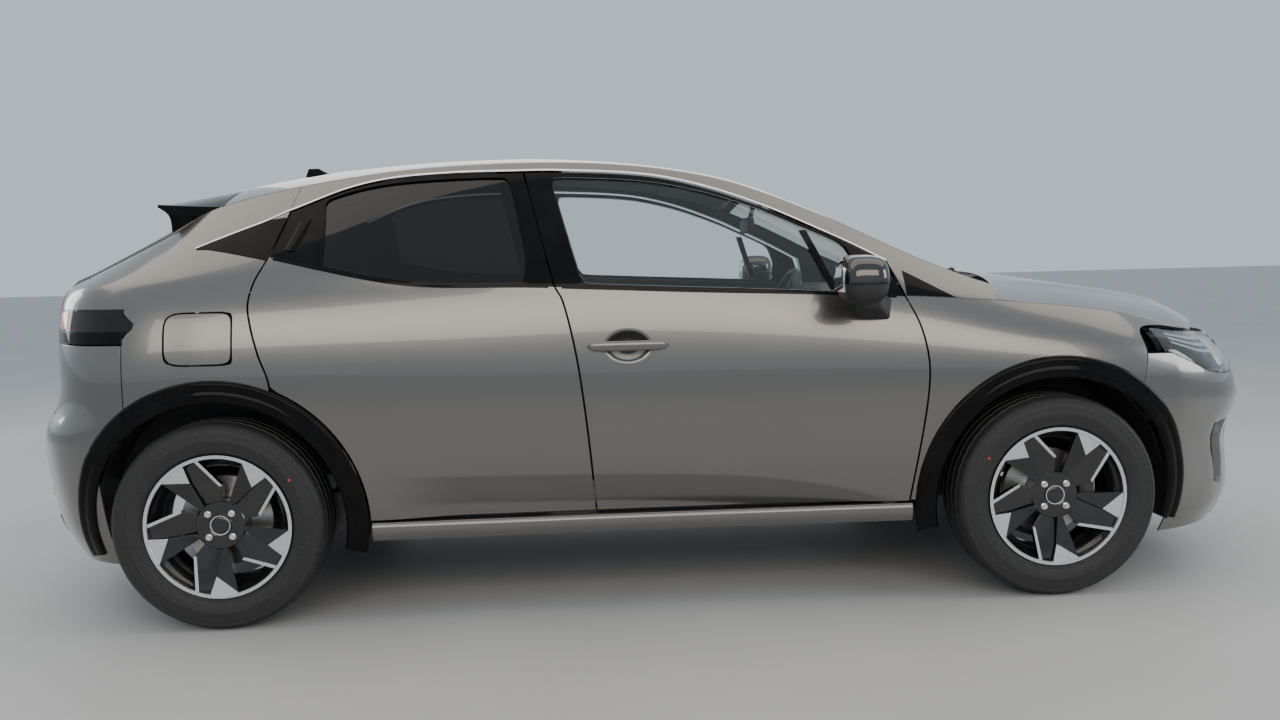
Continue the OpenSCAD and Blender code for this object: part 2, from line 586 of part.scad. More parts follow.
// Windscreen: base line bows forward in the middle
screen_base_share = .945;
screen_corner_share = .885;
module windscreen() {
    function at(u, w, down) = let (
            x0 = mix(station(screen_base_share), station(screen_corner_share), w * w),
            x = mix(x0, station(roof_front_share) + fine_gap, u),
            y = -w * (side_half(x, curve(rail_z, x)) - rail_lap - fine_gap))
        top(x, y, down);
    color(tint) shell(function (u, w) at(u, w, 0), function (u, w) at(u, w, glass_t * 1.3),
        steps(0, 1, 8), steps(-1, 1, 12));
}
// Bonnet, hinged at its rear corners
bonnet_rear_shares = [.982, .937];
bonnet_front_shares = [1.885, 1.645];
bonnet_edge_round = 3;
bonnet_corner_share = 1.3;
bonnet_pin_y = body_w * .31;
bonnet_pin_x = station(bonnet_rear_shares[1]) + hinge_back;
bonnet_pin_z = bonnet_top(bonnet_pin_x, bonnet_pin_y)[2] - hinge_in * 1.25;
function bonnet_at(u, w, down) = let (
        x1 = mix(station(bonnet_rear_shares[0]), station(bonnet_rear_shares[1]), w * w),
        x2 = mix(station(bonnet_front_shares[0]), station(bonnet_front_shares[1]),
            pow(abs(w), bonnet_edge_round)),
        x = mix(x1, x2, u), free = 1 + bonnet_corner_share * max(0, 1 - u / bonnet_us[2]),
        y = -w * (side_half(x, curve(shoulder_z, x)) - shut_gap * free))
    bonnet_top(x, y, down);
bonnet_us = [0, .1, .15, .25, .4, .55, .7, .78, .79, .9, 1];
bonnet_ws = [-1, -.9, -.89, -.75, -.5, -.25, 0, .25, .5, .75, .89, .9, 1];
function bonnet_depth(u, w) =
    u < bonnet_us[2] || u > bonnet_us[7] + tiny_share || abs(w) > bonnet_ws[10] + tiny_share
        ? skin_t : lid_t;
module bonnet() {
    color(paint) {
        shell(function (u, w) bonnet_at(u, w, 0),
            function (u, w) bonnet_at(u, w, bonnet_depth(u, w)),
            bonnet_us, bonnet_ws);
        for (side_sign = [-1, 1]) translate([bonnet_pin_x, side_sign * bonnet_pin_y, bonnet_pin_z])
            rotate([90, 0, 0]) difference() {
                union() {
                    cylinder(h = hinge_h, r = barrel_r, center = true);
                    translate([0, -barrel_r / 2, -hinge_h / 2]) cube([hinge_back, barrel_r, hinge_h]);
                }
                cylinder(h = hinge_h + 2 * over, r = pin_r + pin_clearance, center = true);
            }
    }
}
// Front wings: a patch between the door's shut line, the arch, the bumper with the lamp, and the bonnet
wing_low_share = .30;
wing_split_share = 1.315;
wing_split_shares = [[.40, 1.312], [.45, 1.315], [.527, 1.34], [.576, 1.342]];
wing_split = up_x(wing_split_shares);
wing_front_shares = [[0, 1.315, .45], [.4, 1.34, .527], [.7, 1.342, .576], [.85, 1.43, .581],
    [1, 1.60, .567]];
function wing_front_x(v) = curve([for (p = wing_front_shares) [p[0], station(p[1])]], v);
function wing_front_z(v) = curve([for (p = wing_front_shares) [p[0], p[2] * body_h]], v);
function wing_low(x) = max(wing_low_share * body_h, arch_top(x, x_front, arch_cut_r));
function wing_edge_low(u) = let (
        x = mix(curve(front_shut, wing_low_share * body_h) + half_gap, station(wing_split_share), u))
    [x, wing_low(x)];
function wing_edge_high(u) = let (
        z0 = curve(shoulder_z, curve(front_shut, belt_share * body_h)),
        x = mix(curve(front_shut, z0) + half_gap, wing_front_x(1), u))
    [x, curve(shoulder_z, x)];
function wing_edge_rear(v) = let (z = mix(wing_low_share * body_h, wing_edge_high(0)[1], v))
    [curve(front_shut, z) + half_gap, z];
function wing_edge_front(v) = v == 0 ? wing_edge_low(1) : v == 1 ? wing_edge_high(1)
    : [wing_front_x(v), wing_front_z(v)];
function wing_xz(u, v) =
    mix(wing_edge_low(u), wing_edge_high(u), v) + mix(wing_edge_rear(v), wing_edge_front(v), u)
    - mix(mix(wing_edge_low(0), wing_edge_low(1), u), mix(wing_edge_high(0), wing_edge_high(1), u), v);
module wing_shape() {
    shell(function (u, v) let (p = wing_xz(u, v)) side(p[0], p[1]),
        function (u, v) let (p = wing_xz(u, v)) side(p[0], p[1], skin_t), steps(0, 1, 16), steps(0, 1, 10));
}
module wings() { color(paint) both_sides() wing_shape(); }
// Scuttle panel between the windscreen and the bonnet
module cowl() {
    function plate(u, w, down) = let (
            x1 = mix(station(screen_base_share), station(screen_corner_share), w * w) + half_gap,
            x2 = mix(station(bonnet_rear_shares[0]), station(bonnet_rear_shares[1]), w * w) - shut_gap,
            x = mix(x1, x2, u), y = -w * (side_half(x, curve(rail_z, x)) - 2 * rail_lap))
        bonnet_top(x, y, down + u * lid_t * 2);
    color(dark) shell(function (u, w) plate(u, w, 0), function (u, w) plate(u, w, skin_t),
        steps(0, 1, 2), steps(-1, 1, 12));
}

// Front bumper, wrapped round the nose between the arches; the grille opening is left out
bumper_low_share = .118;
grille_z_shares = [.205, .36];
grille_angle = 36;
nose_top_shares = [[0, .549], [20, .551], [35, .553], [36, .474], [45, .467], [51, .469], [59, .480],
    [66, .507],
    [71, .527], [90, .527]];
function nose_top(a) = lookup(abs(a), nose_top_shares) * body_h - half_gap;
bumper_angles = [-72, -68, -64, -58, -52, -46, -41, -36, -35, -26, -17, -9, 0, 9, 17, 26, 35, 36, 41, 46,
    52, 58, 64, 68, 72];
module front_bumper() {
    vs = [0, .1, .21, .3, .4, .49, .58, .7, .78, .86, .93, 1];
    function at(a, v, inward) = let (z = mix(bumper_low_share * body_h, nose_top(a), v),
            p = nose(a, z, inward),
            x = max(curve(wing_split, z) + half_gap, x_front + arch_reach(arch_cut_r, z)))
        abs(a) > 71 ? [x, -sign(a) * (side_half(x, z) - inward), z] : p;
    color(paint) shell(function (a, v) at(a, v, 0), function (a, v) at(a, v, skin_t), bumper_angles, vs,
        function (i, j) !(i >= 8 && i < 16 && j >= 2 && j < 6));
}
// Grille: a panel set back in the opening
module grille() {
    function at(a, v, inward) = let (z = mix(grille_z_shares[0], grille_z_shares[1], v) * body_h)
        nose(a, z, inward);
    depth = body_w * .02;
    color(dark) shell(function (a, v) at(a, v, depth), function (a, v) at(a, v, depth * 1.8),
        steps(-grille_angle * 1.05, grille_angle * 1.05, 12), steps(0, 1, 4));
}
// Headlamps fill the space between wing, bonnet and bumper
lamp_angles = [36.6, 72.5];
lamp_top_shares = [[34, .553], [45, .557], [52, .560], [58, .562], [64, .568], [70, .575], [76, .578]];
lamp_depth = body_w * .03;
module headlamp_shape() {
    function at(u, v, inward) = let (
            a = mix(lamp_angles[0], lamp_angles[1], u),
            z = mix(nose_top(a) + shut_gap / 2, lookup(a, lamp_top_shares) * body_h - half_gap, v))
        nose(a, z, inward);
    shell(function (u, v) at(u, v, over), function (u, v) at(u, v, lamp_depth), steps(0, 1, 12),
        steps(0, 1, 3));
}
module headlamps() { color(tint) both_sides() headlamp_shape(); }

// Tail: bumper, lamps and tailgate
lid_low_share = .445;
lid_angle = 40;
tail_end_angle = 76;
tail_angles = [-tail_end_angle, -70, -64, -57, -50, -40, -32, -24, -16, -8, 0, 8, 16, 24, 32, 40, 50, 57,
    64, 70, tail_end_angle];
rear_low_share = .135;
module rear_bumper() {
    vs = [0, .12, .24, .36, .48, .56, .66, .78, .9, 1];
    lid_row = 5;
    function at(a, v, inward) = let (
            t = part_of(v, 0, vs[lid_row]),
            z = v <= vs[lid_row] ? mix(rear_low_share, lid_low_share, t) * body_h - half_gap * t :
                mix(lid_low_share * body_h - half_gap, lamp_z_shares[0] * body_h - half_gap,
                    part_of(v, vs[lid_row], 1)),
            p = tail(a, z, inward),
            x = min(x_rear - arch_reach(arch_cut_r, z), station(quarter_column_shares[5]) - half_gap))
        abs(a) >= tail_end_angle ? [x, -sign(a) * (side_half(x, z) - inward), z] : p;
    color(paint) shell(function (a, v) at(a, v, 0), function (a, v) at(a, v, skin_t), tail_angles, vs,
        function (i, j) !(i >= 5 && i < 15 && j >= lid_row));
}
module taillamp_shape() {
    depth = body_w * .035;
    function at(a, v, inward) = let (
            z = mix(lamp_z_shares[0] * body_h + half_gap / 3, lamp_z_shares[1] * body_h - half_gap / 3, v),
            x = station(quarter_column_shares[4]) - half_gap)
        a > tail_end_angle ? [x, -side_half(x, z) + inward, z] : tail(a, z, inward);
    shell(function (a, v) at(a, v, 0), function (a, v) at(a, v, depth),
        concat(steps(lid_angle * 1.05, tail_end_angle, 6), [tail_end_angle * 1.05]), steps(0, 1, 3));
}
module taillamps() { color([.3, .02, .02]) both_sides() taillamp_shape(); }

lid_lip_share = .712;
lid_lip_x_shares = [-.845, -.745];
lid_lip_v = .42;
lid_top_x = station(roof_rear_share) - shut_gap;
lid_half_shares = [.70, .642];
function tail_back(y, z) = let (w = section_half(rear_corner_x, z))
    rear_corner_x - (rear_corner_x - curve(tail_x, z)) * round_off(abs(y) / w, rear_square);
function lid_at(w, v, inward) = v <= lid_lip_v ?
    let (q = v / lid_lip_v, z = mix(lid_low_share, lid_lip_share, q) * body_h,
        y = -w * mix(lid_half_shares[0], lid_half_shares[1], q * q) * half_w)
        [tail_back(y, z) + inward, y, z] :
    let (q = (v - lid_lip_v) / (1 - lid_lip_v),
        x = mix(mix(station(lid_lip_x_shares[0]), station(lid_lip_x_shares[1]), w * w), lid_top_x, q),
        half = mix(lid_half_shares[1] * half_w, side_half(lid_top_x,
            curve(rail_z, lid_top_x)) - shut_gap, q),
        p = top(x, -w * half))
        [p[0], p[1], p[2] - inward];
lid_vs = [0, .08, .16, .24, .32, .40, .50, .58, .66, .74, .82, .86, .92, .96, 1];
lid_ws = [-1, -.88, -.7, -.5, -.25, 0, .25, .5, .7, .88, 1];
lid_glass_rows = [6, 11];
lid_pin_x = lid_top_x - hinge_back;
lid_pin_half = side_half(lid_pin_x, curve(rail_z, lid_pin_x)) - shut_gap * 3;
lid_pin_z = top(lid_pin_x, lid_pin_half)[2] - hinge_in * 1.15;
module tailgate() {
    color(paint) {
        shell(function (w, v) lid_at(w, v, 0), function (w, v) lid_at(w, v, v > .9 ? skin_t : lid_t),
            lid_ws, lid_vs,
            function (i, j) !(i >= 1 && i < 9 && j >= lid_glass_rows[0] && j < lid_glass_rows[1]));
        for (s = [-1, 1]) translate([lid_pin_x, s * (lid_pin_half - hinge_h / 2), lid_pin_z])
            rotate([90, 0, 0]) difference() {
                union() {
                    cylinder(h = hinge_h, r = barrel_r, center = true);
                    translate([-hinge_back * .42, -barrel_r / 2, -hinge_h / 2])
                        cube([hinge_back * .42, barrel_r, hinge_h]);
                }
                cylinder(h = hinge_h + 2 * over, r = pin_r + pin_clearance, center = true);
            }
    }
}
module tailgate_glass() {
    rim = fine_gap / wheelbase;
    color(tint) shell(function (w, v) lid_at(w, v, over), function (w, v) lid_at(w, v, over + glass_t),
        steps(lid_ws[1] + 8 * rim, lid_ws[9] - 8 * rim, 12),
        steps(lid_vs[lid_glass_rows[0]] + 8 * rim, lid_vs[lid_glass_rows[1]] - 8 * rim, 8));
}
// Roof spoiler on the tailgate
spoiler_tip_share = -.44;
spoiler_tip_z_share = .906;
spoiler_sag_share = .010;
spoiler_t = body_h * .022;
module spoiler() {
    function at(u, w, k) = let (
            x = mix(lid_top_x - shut_gap, station(spoiler_tip_share) + abs(w) * abs(w) * wheelbase * .03,
                u),
            half = side_half(lid_top_x, curve(rail_z, lid_top_x)) - shut_gap,
            base = top(lid_top_x - shut_gap, -w * half)[2] + fine_gap * 2,
            tip = (spoiler_tip_z_share - spoiler_sag_share * w * w) * body_h,
            z = mix(base, tip, u * .8 + u * u * .2) + fine_gap)
        [x, -w * half, k == 0 ? z : max(z - spoiler_t * (.2 + u * .8), top(x, -w * half)[2] + half_gap)];
    color(dark) shell(function (u, w) at(u, w, 0), function (u, w)
        let (p = at(u, w, 0), q = at(u, w, 1)) [p[0], p[1], min(p[2] - fine_gap, q[2])],
        steps(0, 1, 6), steps(-1, 1, 12));
}

// Arch and sill trims
arch_ends = [-14, 194];
module arch_trim_shape(axle_x) {
    function at(t, r, out) = let (x = axle_x + r * cos(t), z = tyre_r + r * sin(t)) side(x, z, -out);
    shell(function (t, r) at(t, r, arch_proud), function (t, r) at(t, r, over),
        steps(arch_ends[0], arch_ends[1], 26), steps(arch_in_r, arch_out_r, 3));
}
module arch_trims() {
    color(dark) both_sides() {
        arch_trim_shape(x_front);
        arch_trim_shape(x_rear);
    }
}
sill_trim_shares = [.172, .212];
module sill_trim_shape() {
    xs = steps(x_front - arch_out_r - shut_gap, x_rear + arch_out_r + shut_gap, 8);
    function at(x, v, inward) = side(x, mix(sill_trim_shares[0], sill_trim_shares[1], v) * body_h, inward);
    shell(function (x, v) at(x, v, 0), function (x, v) at(x, v, pillar_in), xs, steps(0, 1, 2));
}
module sill_trims() { color(paint) both_sides() sill_trim_shape(); }

// Floor with firewall, tunnel and wheel housings
floor_t = 4 * skin_t;
floor_low = sill_low_share * body_h;
floor_half = section_half(0, floor_low) - pillar_in - pillar_t * 1.4 - fine_gap;
fire_x = station(.90);
boot_x = station(-.80);
rail_half_y = body_w * .26;
house_r = arch_in_r + 2 * arch_proud;
house_t = skin_t;
house_in = body_w * .335;
house_out = section_half(x_rear, tyre_r) - 9 * arch_proud;
tunnel_half = body_w * .085;
tunnel_top_share = .26;
jack_x_shares = [.19, .74];
jack_l = wheelbase * .03;
module wheel_house(axle_x, inner_y, outer_y, wall_up) {
    for (s = [-1, 1]) translate([axle_x, s * (inner_y + outer_y) / 2, tyre_r]) rotate([90, 0, 0])
        intersection() {
            difference() {
                cylinder(h = outer_y - inner_y, r = house_r + house_t, center = true);
                cylinder(h = outer_y - inner_y + 2 * over, r = house_r, center = true);
            }
            translate([-2 * house_r, 0, -outer_y]) cube([4 * house_r, 2 * house_r, 2 * outer_y]);
        }
    for (s = [-1, 1]) translate([axle_x, s * inner_y, tyre_r]) rotate([90, 0, 0])
        intersection() {
            cylinder(h = house_t, r = house_r + house_t, center = true);
            translate([-2 * house_r, wall_up, -outer_y]) cube([4 * house_r, 2 * house_r, 2 * outer_y]);
        }
}
axle_arm_w = body_w * .035;
boot_z = max(body_h * .29, tyre_r + axle_arm_w + floor_t);
nose_rail_share = 1.68;
rail_box = 4 * floor_t;
rail_z_low = body_h * .25;
// Room in the footwell for a front wheel at full lock
module wheel_room() {
    for (s = [-1, 1]) translate([x_front, s * (rail_half_y + body_w / 2), tyre_r]) {
        rotate([90, 0, 0]) cylinder(h = body_w, r = house_r, center = true);
        translate([-house_r, -body_w / 2, -tyre_r]) cube([2 * house_r, body_w, tyre_r]);
    }
}
module floor_pan() {
    room_x = x_front - house_r - house_t;
    room_h = tyre_r - floor_low + over;
    color(metal) {
        difference() {
            union() {
                translate([x_rear + house_r, -floor_half, floor_low])
                    cube([fire_x - x_rear - house_r, 2 * floor_half, floor_t]);
                translate([x_rear + house_r, -tunnel_half, floor_low])
                    cube([fire_x - x_rear - house_r, 2 * tunnel_half,
                        (tunnel_top_share - sill_low_share) * body_h]);
            }
            translate([x_rear, -tunnel_half + floor_t, floor_low - over])
                cube([wheelbase, 2 * (tunnel_half - floor_t),
                    (tunnel_top_share - sill_low_share) * body_h - floor_t]);
            wheel_room();
        }
        // firewall and scuttle, with walls round the room of the front wheels
        difference() {
            translate([fire_x, -floor_half, floor_low])
                cube([floor_t, 2 * floor_half, (.60 - sill_low_share) * body_h]);
            wheel_room();
        }
        for (s = [-1, 1]) {
            translate([room_x, s > 0 ? rail_half_y : -floor_half, floor_low])
                cube([house_t, floor_half - rail_half_y, room_h]);
            translate([room_x, s * rail_half_y - house_t / 2, floor_low])
                cube([fire_x + floor_t - room_x, house_t, room_h]);
        }
        // boot floor and step under the rear seat
        translate([boot_x, -house_in, boot_z]) cube([x_rear + house_r - boot_x + over, 2 * house_in,
            floor_t]);
        translate([x_rear + house_r, -floor_half, floor_low])
            cube([floor_t, 2 * floor_half, boot_z - floor_low + floor_t]);
        // front rails under the engine
        for (s = [-1, 1]) translate([fire_x, s * rail_half_y - floor_t, rail_z_low])
            cube([station(nose_rail_share) - fire_x + over, 2 * floor_t, rail_box]);
        translate([station(nose_rail_share), -rail_half_y * 1.2, rail_z_low])
            cube([2 * floor_t, 2.4 * rail_half_y, rail_box]);
        wheel_house(x_front, rail_half_y, house_out, 0);
        wheel_house(x_rear, house_in, house_out, body_h * .075);
        for (s = [-1, 1]) for (j = jack_x_shares)
            translate([station(j) - jack_l / 2, s * (floor_half - jack_l / 2) - jack_l / 2,
                floor_low - floor_t])
                cube([jack_l, jack_l, floor_t + over]);
    }
}
module engine_block() {
    l = wheelbase * .17;
    half = rail_half_y - 1.4 * floor_t - fine_gap;
    color(metal) translate([x_front - l * .25, -half, body_h * .22]) cube([l, 2 * half, body_h * .30]);
}
module fuel_tank() {
    color(dark) translate([station(.155), tunnel_half + floor_t - floor_half, floor_low - body_h * .045])
        cube([wheelbase * .12, floor_half - tunnel_half * 1.6 - floor_t, body_h * .045 - fine_gap]);
}
module exhaust() {
    z = floor_low - over + (tunnel_top_share - sill_low_share) * body_h - floor_t - exhaust_r - fine_gap;
    color(metal) {
        translate([station(.168), 0, z]) rotate([0, 90, 0]) cylinder(h = wheelbase * .66, r = exhaust_r);
        translate([station(-.72), body_w * .12, boot_z - 3 * exhaust_r - fine_gap])
            rotate([0, 90, 0]) cylinder(h = rear_overhang * .32, r = exhaust_r * 3);
    }
}
// Wheels: a turned rim with its barrel, spokes, hub face and brake disc
hub_r = bolt_circle_d * .78;
hub_bore_r = bolt_circle_d * .3;
rim_r = rim_d / 2;
spoke_out = rim_w * .34;
spoke_t = rim_w * .16;
bolt_count = 4;
stub_r = hub_bore_r * .6;
knuckle_z = spoke_out - spoke_t * 3.5;
// Rim section: share of the radius, share of the half width
rim_profile_shares = [[.955, -1], [1, -1], [1, -.93], [.93, -.86], [.93, -.74], [.86, -.6], [.86, .56],
    [.93, .74], [.93, .86],
    [1, .93], [1, 1], [.955, 1], [.90, .84], [.82, .74], [.82, -.56], [.90, -.72], [.90, -.84]];
spoke_foot_share = (hub_r + fine_gap) / rim_r;
spoke_shares = [[spoke_foot_share, -.1], [.5, -.085], [.804, -.15], [.804, .15], [.5, .085],
    [spoke_foot_share, .1]];
module wheel_shape() {
    // turned about the wheel's own axis, here Z, outer face up
    rotate_extrude($fn = 72) polygon(rim_profile_shares * [[rim_r, 0], [0, rim_w / 2]]);
    for (i = [0 : spoke_count - 1]) rotate([0, 0, i * 360 / spoke_count + 90])
        translate([0, 0, spoke_out - spoke_t]) linear_extrude(height = spoke_t)
            polygon(spoke_shares * rim_r);
    difference() {
        translate([0, 0, spoke_out - spoke_t]) cylinder(h = spoke_t, r = hub_r);
        translate([0, 0, -rim_w]) cylinder(h = 2 * rim_w, r = hub_bore_r);
        for (i = [0 : bolt_count - 1]) rotate([0, 0, i * 360 / bolt_count + 45])
            translate([bolt_circle_d / 2, 0, -rim_w]) cylinder(h = 2 * rim_w, r = bolt_circle_d * .07);
    }
    // centre cap
    translate([0, 0, spoke_out - spoke_t]) cylinder(h = spoke_t * .9, r = hub_bore_r - fine_gap);
    // disc and its bell, on the stub axle
    difference() {
        union() {
            translate([0, 0, knuckle_z]) cylinder(h = spoke_t, r = disc_d / 2);
            translate([0, 0, knuckle_z + spoke_t - over])
                cylinder(h = spoke_t * 1.5 + over - fine_gap, r = hub_r * .95);
        }
        translate([0, 0, knuckle_z - over]) cylinder(h = spoke_t * 4, r = stub_r + pin_clearance);
    }
}
// Tyre section: from the rim's radius to the tread's, and share of the half width
tyre_outer_shares = [[-.07, .72], [-.01, .75], [.02, .86], [.25, .97], [.6, 1], [.93, .84], [1, .6]];
tyre_inner_shares = [[.84, .55], [.80, .74], [.6, .87], [.25, .84], [.05, .70], [-.07, .55]];
module tyre_shape() {
    function at(p, s) = [rim_r + p[0] * (tyre_r - rim_r), s * p[1] * tyre_w / 2];
    half = tyre_outer_shares;
    back = tyre_inner_shares;
    rotate_extrude($fn = 64) polygon(concat(
        [for (p = half) at(p, -1)], [for (i = [len(half) - 1 : -1 : 0]) at(half[i], 1)],
        [for (i = [len(back) - 1 : -1 : 0]) at(back[i], 1)], [for (p = back) at(p, -1)]));
}
module on_wheel(axle_x, s) {
    translate([axle_x, s * track / 2, tyre_r]) rotate([s > 0 ? -90 : 90, 0, 0]) children();
}
module right_front_wheel() { color(metal) on_wheel(x_front, -1) wheel_shape(); }
module left_front_wheel() { color(metal) on_wheel(x_front, 1) wheel_shape(); }
module right_rear_wheel() { color(metal) on_wheel(x_rear, -1) wheel_shape(); }
module left_rear_wheel() { color(metal) on_wheel(x_rear, 1) wheel_shape(); }
module right_front_tyre() { color(dark) on_wheel(x_front, -1) tyre_shape(); }
module left_front_tyre() { color(dark) on_wheel(x_front, 1) tyre_shape(); }
module right_rear_tyre() { color(dark) on_wheel(x_rear, -1) tyre_shape(); }
module left_rear_tyre() { color(dark) on_wheel(x_rear, 1) tyre_shape(); }

// Front knuckles carry the wheels and turn about upright pins
kingpin_in = rim_w * .42;
kingpin_h = body_h * .05;
module knuckle_shape() {
    // in the wheel's own frame: Z out along the axle, Y up
    translate([0, 0, knuckle_z - disc_gap - over]) cylinder(h = spoke_t * 2.4 + disc_gap, r = stub_r);
    difference() {
        union() {
            translate([0, 0, knuckle_z - disc_gap - spoke_t]) cylinder(h = spoke_t, r = hub_r * .8);
            translate([-spoke_t / 2 - kingpin_r, -rim_r * .55, -kingpin_in - kingpin_r * 2])
                cube([spoke_t + 2 * kingpin_r, rim_r * 1.1,
                    knuckle_z - disc_gap - spoke_t + kingpin_in + kingpin_r * 2 + over]);
        }
        translate([0, rim_r * .55 + over, -kingpin_in]) rotate([90, 0, 0])
            cylinder(h = rim_r * 1.1 + 2 * over, r = kingpin_r + pin_clearance);
    }
    // caliper
    translate([disc_d * .36, -disc_d * .16, knuckle_z - spoke_t]) difference() {
        cube([disc_d * .17, disc_d * .32, spoke_t * 2.9]);
        translate([-over, -over, spoke_t - disc_gap * .8])
            cube([disc_d * .14 + over, disc_d * .4, spoke_t + 1.6 * disc_gap]);
    }
}
module right_knuckle() { color(metal) on_wheel(x_front, -1) knuckle_shape(); }
module left_knuckle() { color(metal) on_wheel(x_front, 1) knuckle_shape(); }
kingpin_y = track / 2 - kingpin_in;
module front_subframe() {
    arm_h = body_h * .03;
    low = tyre_r - rim_r * .55;
    base = low - fine_gap - arm_h;
    beam_h = arm_h * 1.5;
    color(metal) {
        translate([x_front - wheelbase * .07, -rail_half_y, base])
            cube([wheelbase * .12, 2 * rail_half_y, beam_h]);
        for (s = [-1, 1]) {
            translate([x_front, s * kingpin_y, base]) cylinder(h = rim_r * 1.1 + arm_h, r = kingpin_r);
            hull() {
                translate([x_front, s * kingpin_y, base]) cylinder(h = arm_h, r = 2 * kingpin_r);
                translate([x_front - wheelbase * .04, s * (rail_half_y - arm_h), base])
                    cube([wheelbase * .06, arm_h, arm_h]);
            }
            // posts up to the front rails
            for (dx = [-.06, .03]) translate([x_front + dx * wheelbase,
                s * (rail_half_y - floor_t * .9) - floor_t / 2, base + beam_h - over])
                cube([floor_t, floor_t, rail_z_low - base - beam_h + over - fine_gap]);
        }
    }
}
module rear_axle() {
    arm_w = axle_arm_w;
    beam_y = track / 2 - rim_w * .9;
    up = arm_w * .8;
    reach = sqrt(house_r * house_r - up * up) - fine_gap;
    color(metal) {
        translate([x_rear + wheelbase * .03, -beam_y, tyre_r - arm_w])
            cube([wheelbase * .035, 2 * beam_y, 1.6 * arm_w]);
        for (s = [-1, 1]) {
            translate([x_rear - arm_w, s * beam_y - arm_w / 2, tyre_r + up - arm_w * 2])
                cube([arm_w + reach, arm_w, arm_w * 2]);
            on_wheel(x_rear, s) {
                translate([0, 0, -rim_w]) cylinder(h = rim_w + knuckle_z - 5 * over, r = hub_r * .7);
                translate([0, 0, knuckle_z - 6 * over]) cylinder(h = spoke_t * 2.4 + 5 * over, r = stub_r);
            }
        }
    }
}

// Cabin
seat_w = body_w * .27;
seat_y = body_w * .205;
seat_z = body_h * .27;
module one_seat(w, back_share) {
    t = w * .22;
    hull() for (dx = [0, 1]) for (dy = [-1, 1])
        translate([dx * w * .85, dy * (w / 2 - t / 2), t / 2]) sphere(r = t / 2, $fn = 16);
    hull() for (dz = [0, 1]) for (dy = [-1, 1])
        translate([-t * .9 - dz * w * .35, dy * (w / 2 - t / 2) * (1 - .15 * dz),
            t * .8 + dz * body_h * back_share]) sphere(r = t / 2, $fn = 16);
}
module front_seats() {
    x = station(.49);
    color(dark) for (s = [-1, 1]) translate([x, s * seat_y, seat_z]) {
        one_seat(seat_w, .36);
        hull() for (dy = [-1, 1]) for (dz = [0, 1])
            translate([-seat_w * .62, dy * seat_w * .2, seat_w * .35 + body_h * (.36 + .055 * dz)])
                sphere(r = seat_w * .1, $fn = 14);
        translate([0, -seat_w * .35, floor_low + floor_t + fine_gap - seat_z])
            cube([seat_w * .8, seat_w * .7, seat_z - floor_low - floor_t]);
    }
}
module rear_seat() {
    x = station(.2);
    w = body_w * .66;
    t = seat_w * .24;
    color(dark) translate([x, 0, seat_z + t]) {
        hull() for (dx = [0, 1]) for (dy = [-1, 1])
            translate([dx * seat_w * .8, dy * (w / 2 - t / 2), 0]) sphere(r = t / 2, $fn = 16);
        hull() for (dz = [0, 1]) for (dy = [-1, 1])
            translate([-t * .9 - dz * seat_w * .4, dy * (w / 2 - t / 2) * (1 - .1 * dz),
                t * .3 + dz * body_h * .33]) sphere(r = t / 2, $fn = 16);
        for (dy = [-1, 0, 1]) hull() for (k = [-1, 1])
            translate([-t - seat_w * .48, dy * w * .33 + k * t * .6, t + body_h * .33])
                sphere(r = t * .45, $fn = 12);
    }
}
dash_half = body_w * .345;
dash_shares = [[.0, .42], [.05, .38], [.09, .38], [.10, .50], [.15, .58], [.11, .655], [.03, .665],
    [-.02, .63], [-.03, .50]];
module dashboard() {
    x = station(.795);
    color(dark) {
        difference() {
            translate([x, dash_half, 0]) rotate([90, 0, 0]) linear_extrude(height = 2 * dash_half)
                polygon(dash_shares * body_h);
            on_column() translate([0, 0, -2 * steer_r]) cylinder(h = 2 * steer_r, r = column_r * 2 - over);
        }
        column_tube();
        translate([x + body_h * .09, -dash_half * .9, body_h * .51])
            cube([fire_x - fine_gap - x - body_h * .09, 2 * dash_half * .9, body_h * .05]);
        translate([station(.56), -tunnel_half * .8, tunnel_top_share * body_h + fine_gap])
            cube([wheelbase * .22, tunnel_half * 1.6, body_h * .12]);
    }
}
wheel_tilt = 24;
steer_r = body_w * .105;
steer_x_share = .745;
steer_z_share = .585;
module on_column() {
    translate([station(steer_x_share), seat_y, steer_z_share * body_h]) rotate([0, -90 + wheel_tilt, 0])
        children();
}
// Fixed tube round the steering column, reaching out of the dashboard
module column_tube() {
    on_column() translate([0, 0, -steer_r * .82]) difference() {
        cylinder(h = steer_r * .4, r = column_r * 2);
        translate([0, 0, -over]) cylinder(h = steer_r + over, r = column_r + pin_clearance);
    }
}
module steering_wheel() {
    color(dark) on_column() {
        rotate_extrude($fn = 48) translate([steer_r, 0]) circle(r = steer_r * .09, $fn = 16);
        translate([0, 0, -steer_r * .25]) cylinder(h = steer_r * .3, r = steer_r * .36);
        for (a = [0, 90, 180]) rotate([0, 0, a + 180])
            translate([0, -steer_r * .1, -steer_r * .06]) cube([steer_r * .96, steer_r * .2, steer_r * .1]);
        translate([0, 0, -steer_r * .6]) cylinder(h = steer_r * .4, r = column_r);
    }
}
wiper_up = 4 * skin_t;
wiper_ends_shares = [[.30, .02], [-.02, -.30]];
function wiper_at(ends, q, v, up) = let (
        y = mix(ends[0], ends[1], q) * body_w, w = y / side_half(station(screen_corner_share),
            belt_share * body_h),
        x = mix(station(screen_base_share), station(screen_corner_share),
            w * w) - (2 + v + 4 * q) * wiper_up)
    top(x, y, -up);
module wipers() {
    // two blades lying along the foot of the windscreen
    color(dark) for (ends = wiper_ends_shares)
        shell(function (q, v) wiper_at(ends, q, v, wiper_up), function (q, v)
            wiper_at(ends, q, v, 4 * fine_gap),
            steps(0, 1, 12), steps(0, 1, 1));
}
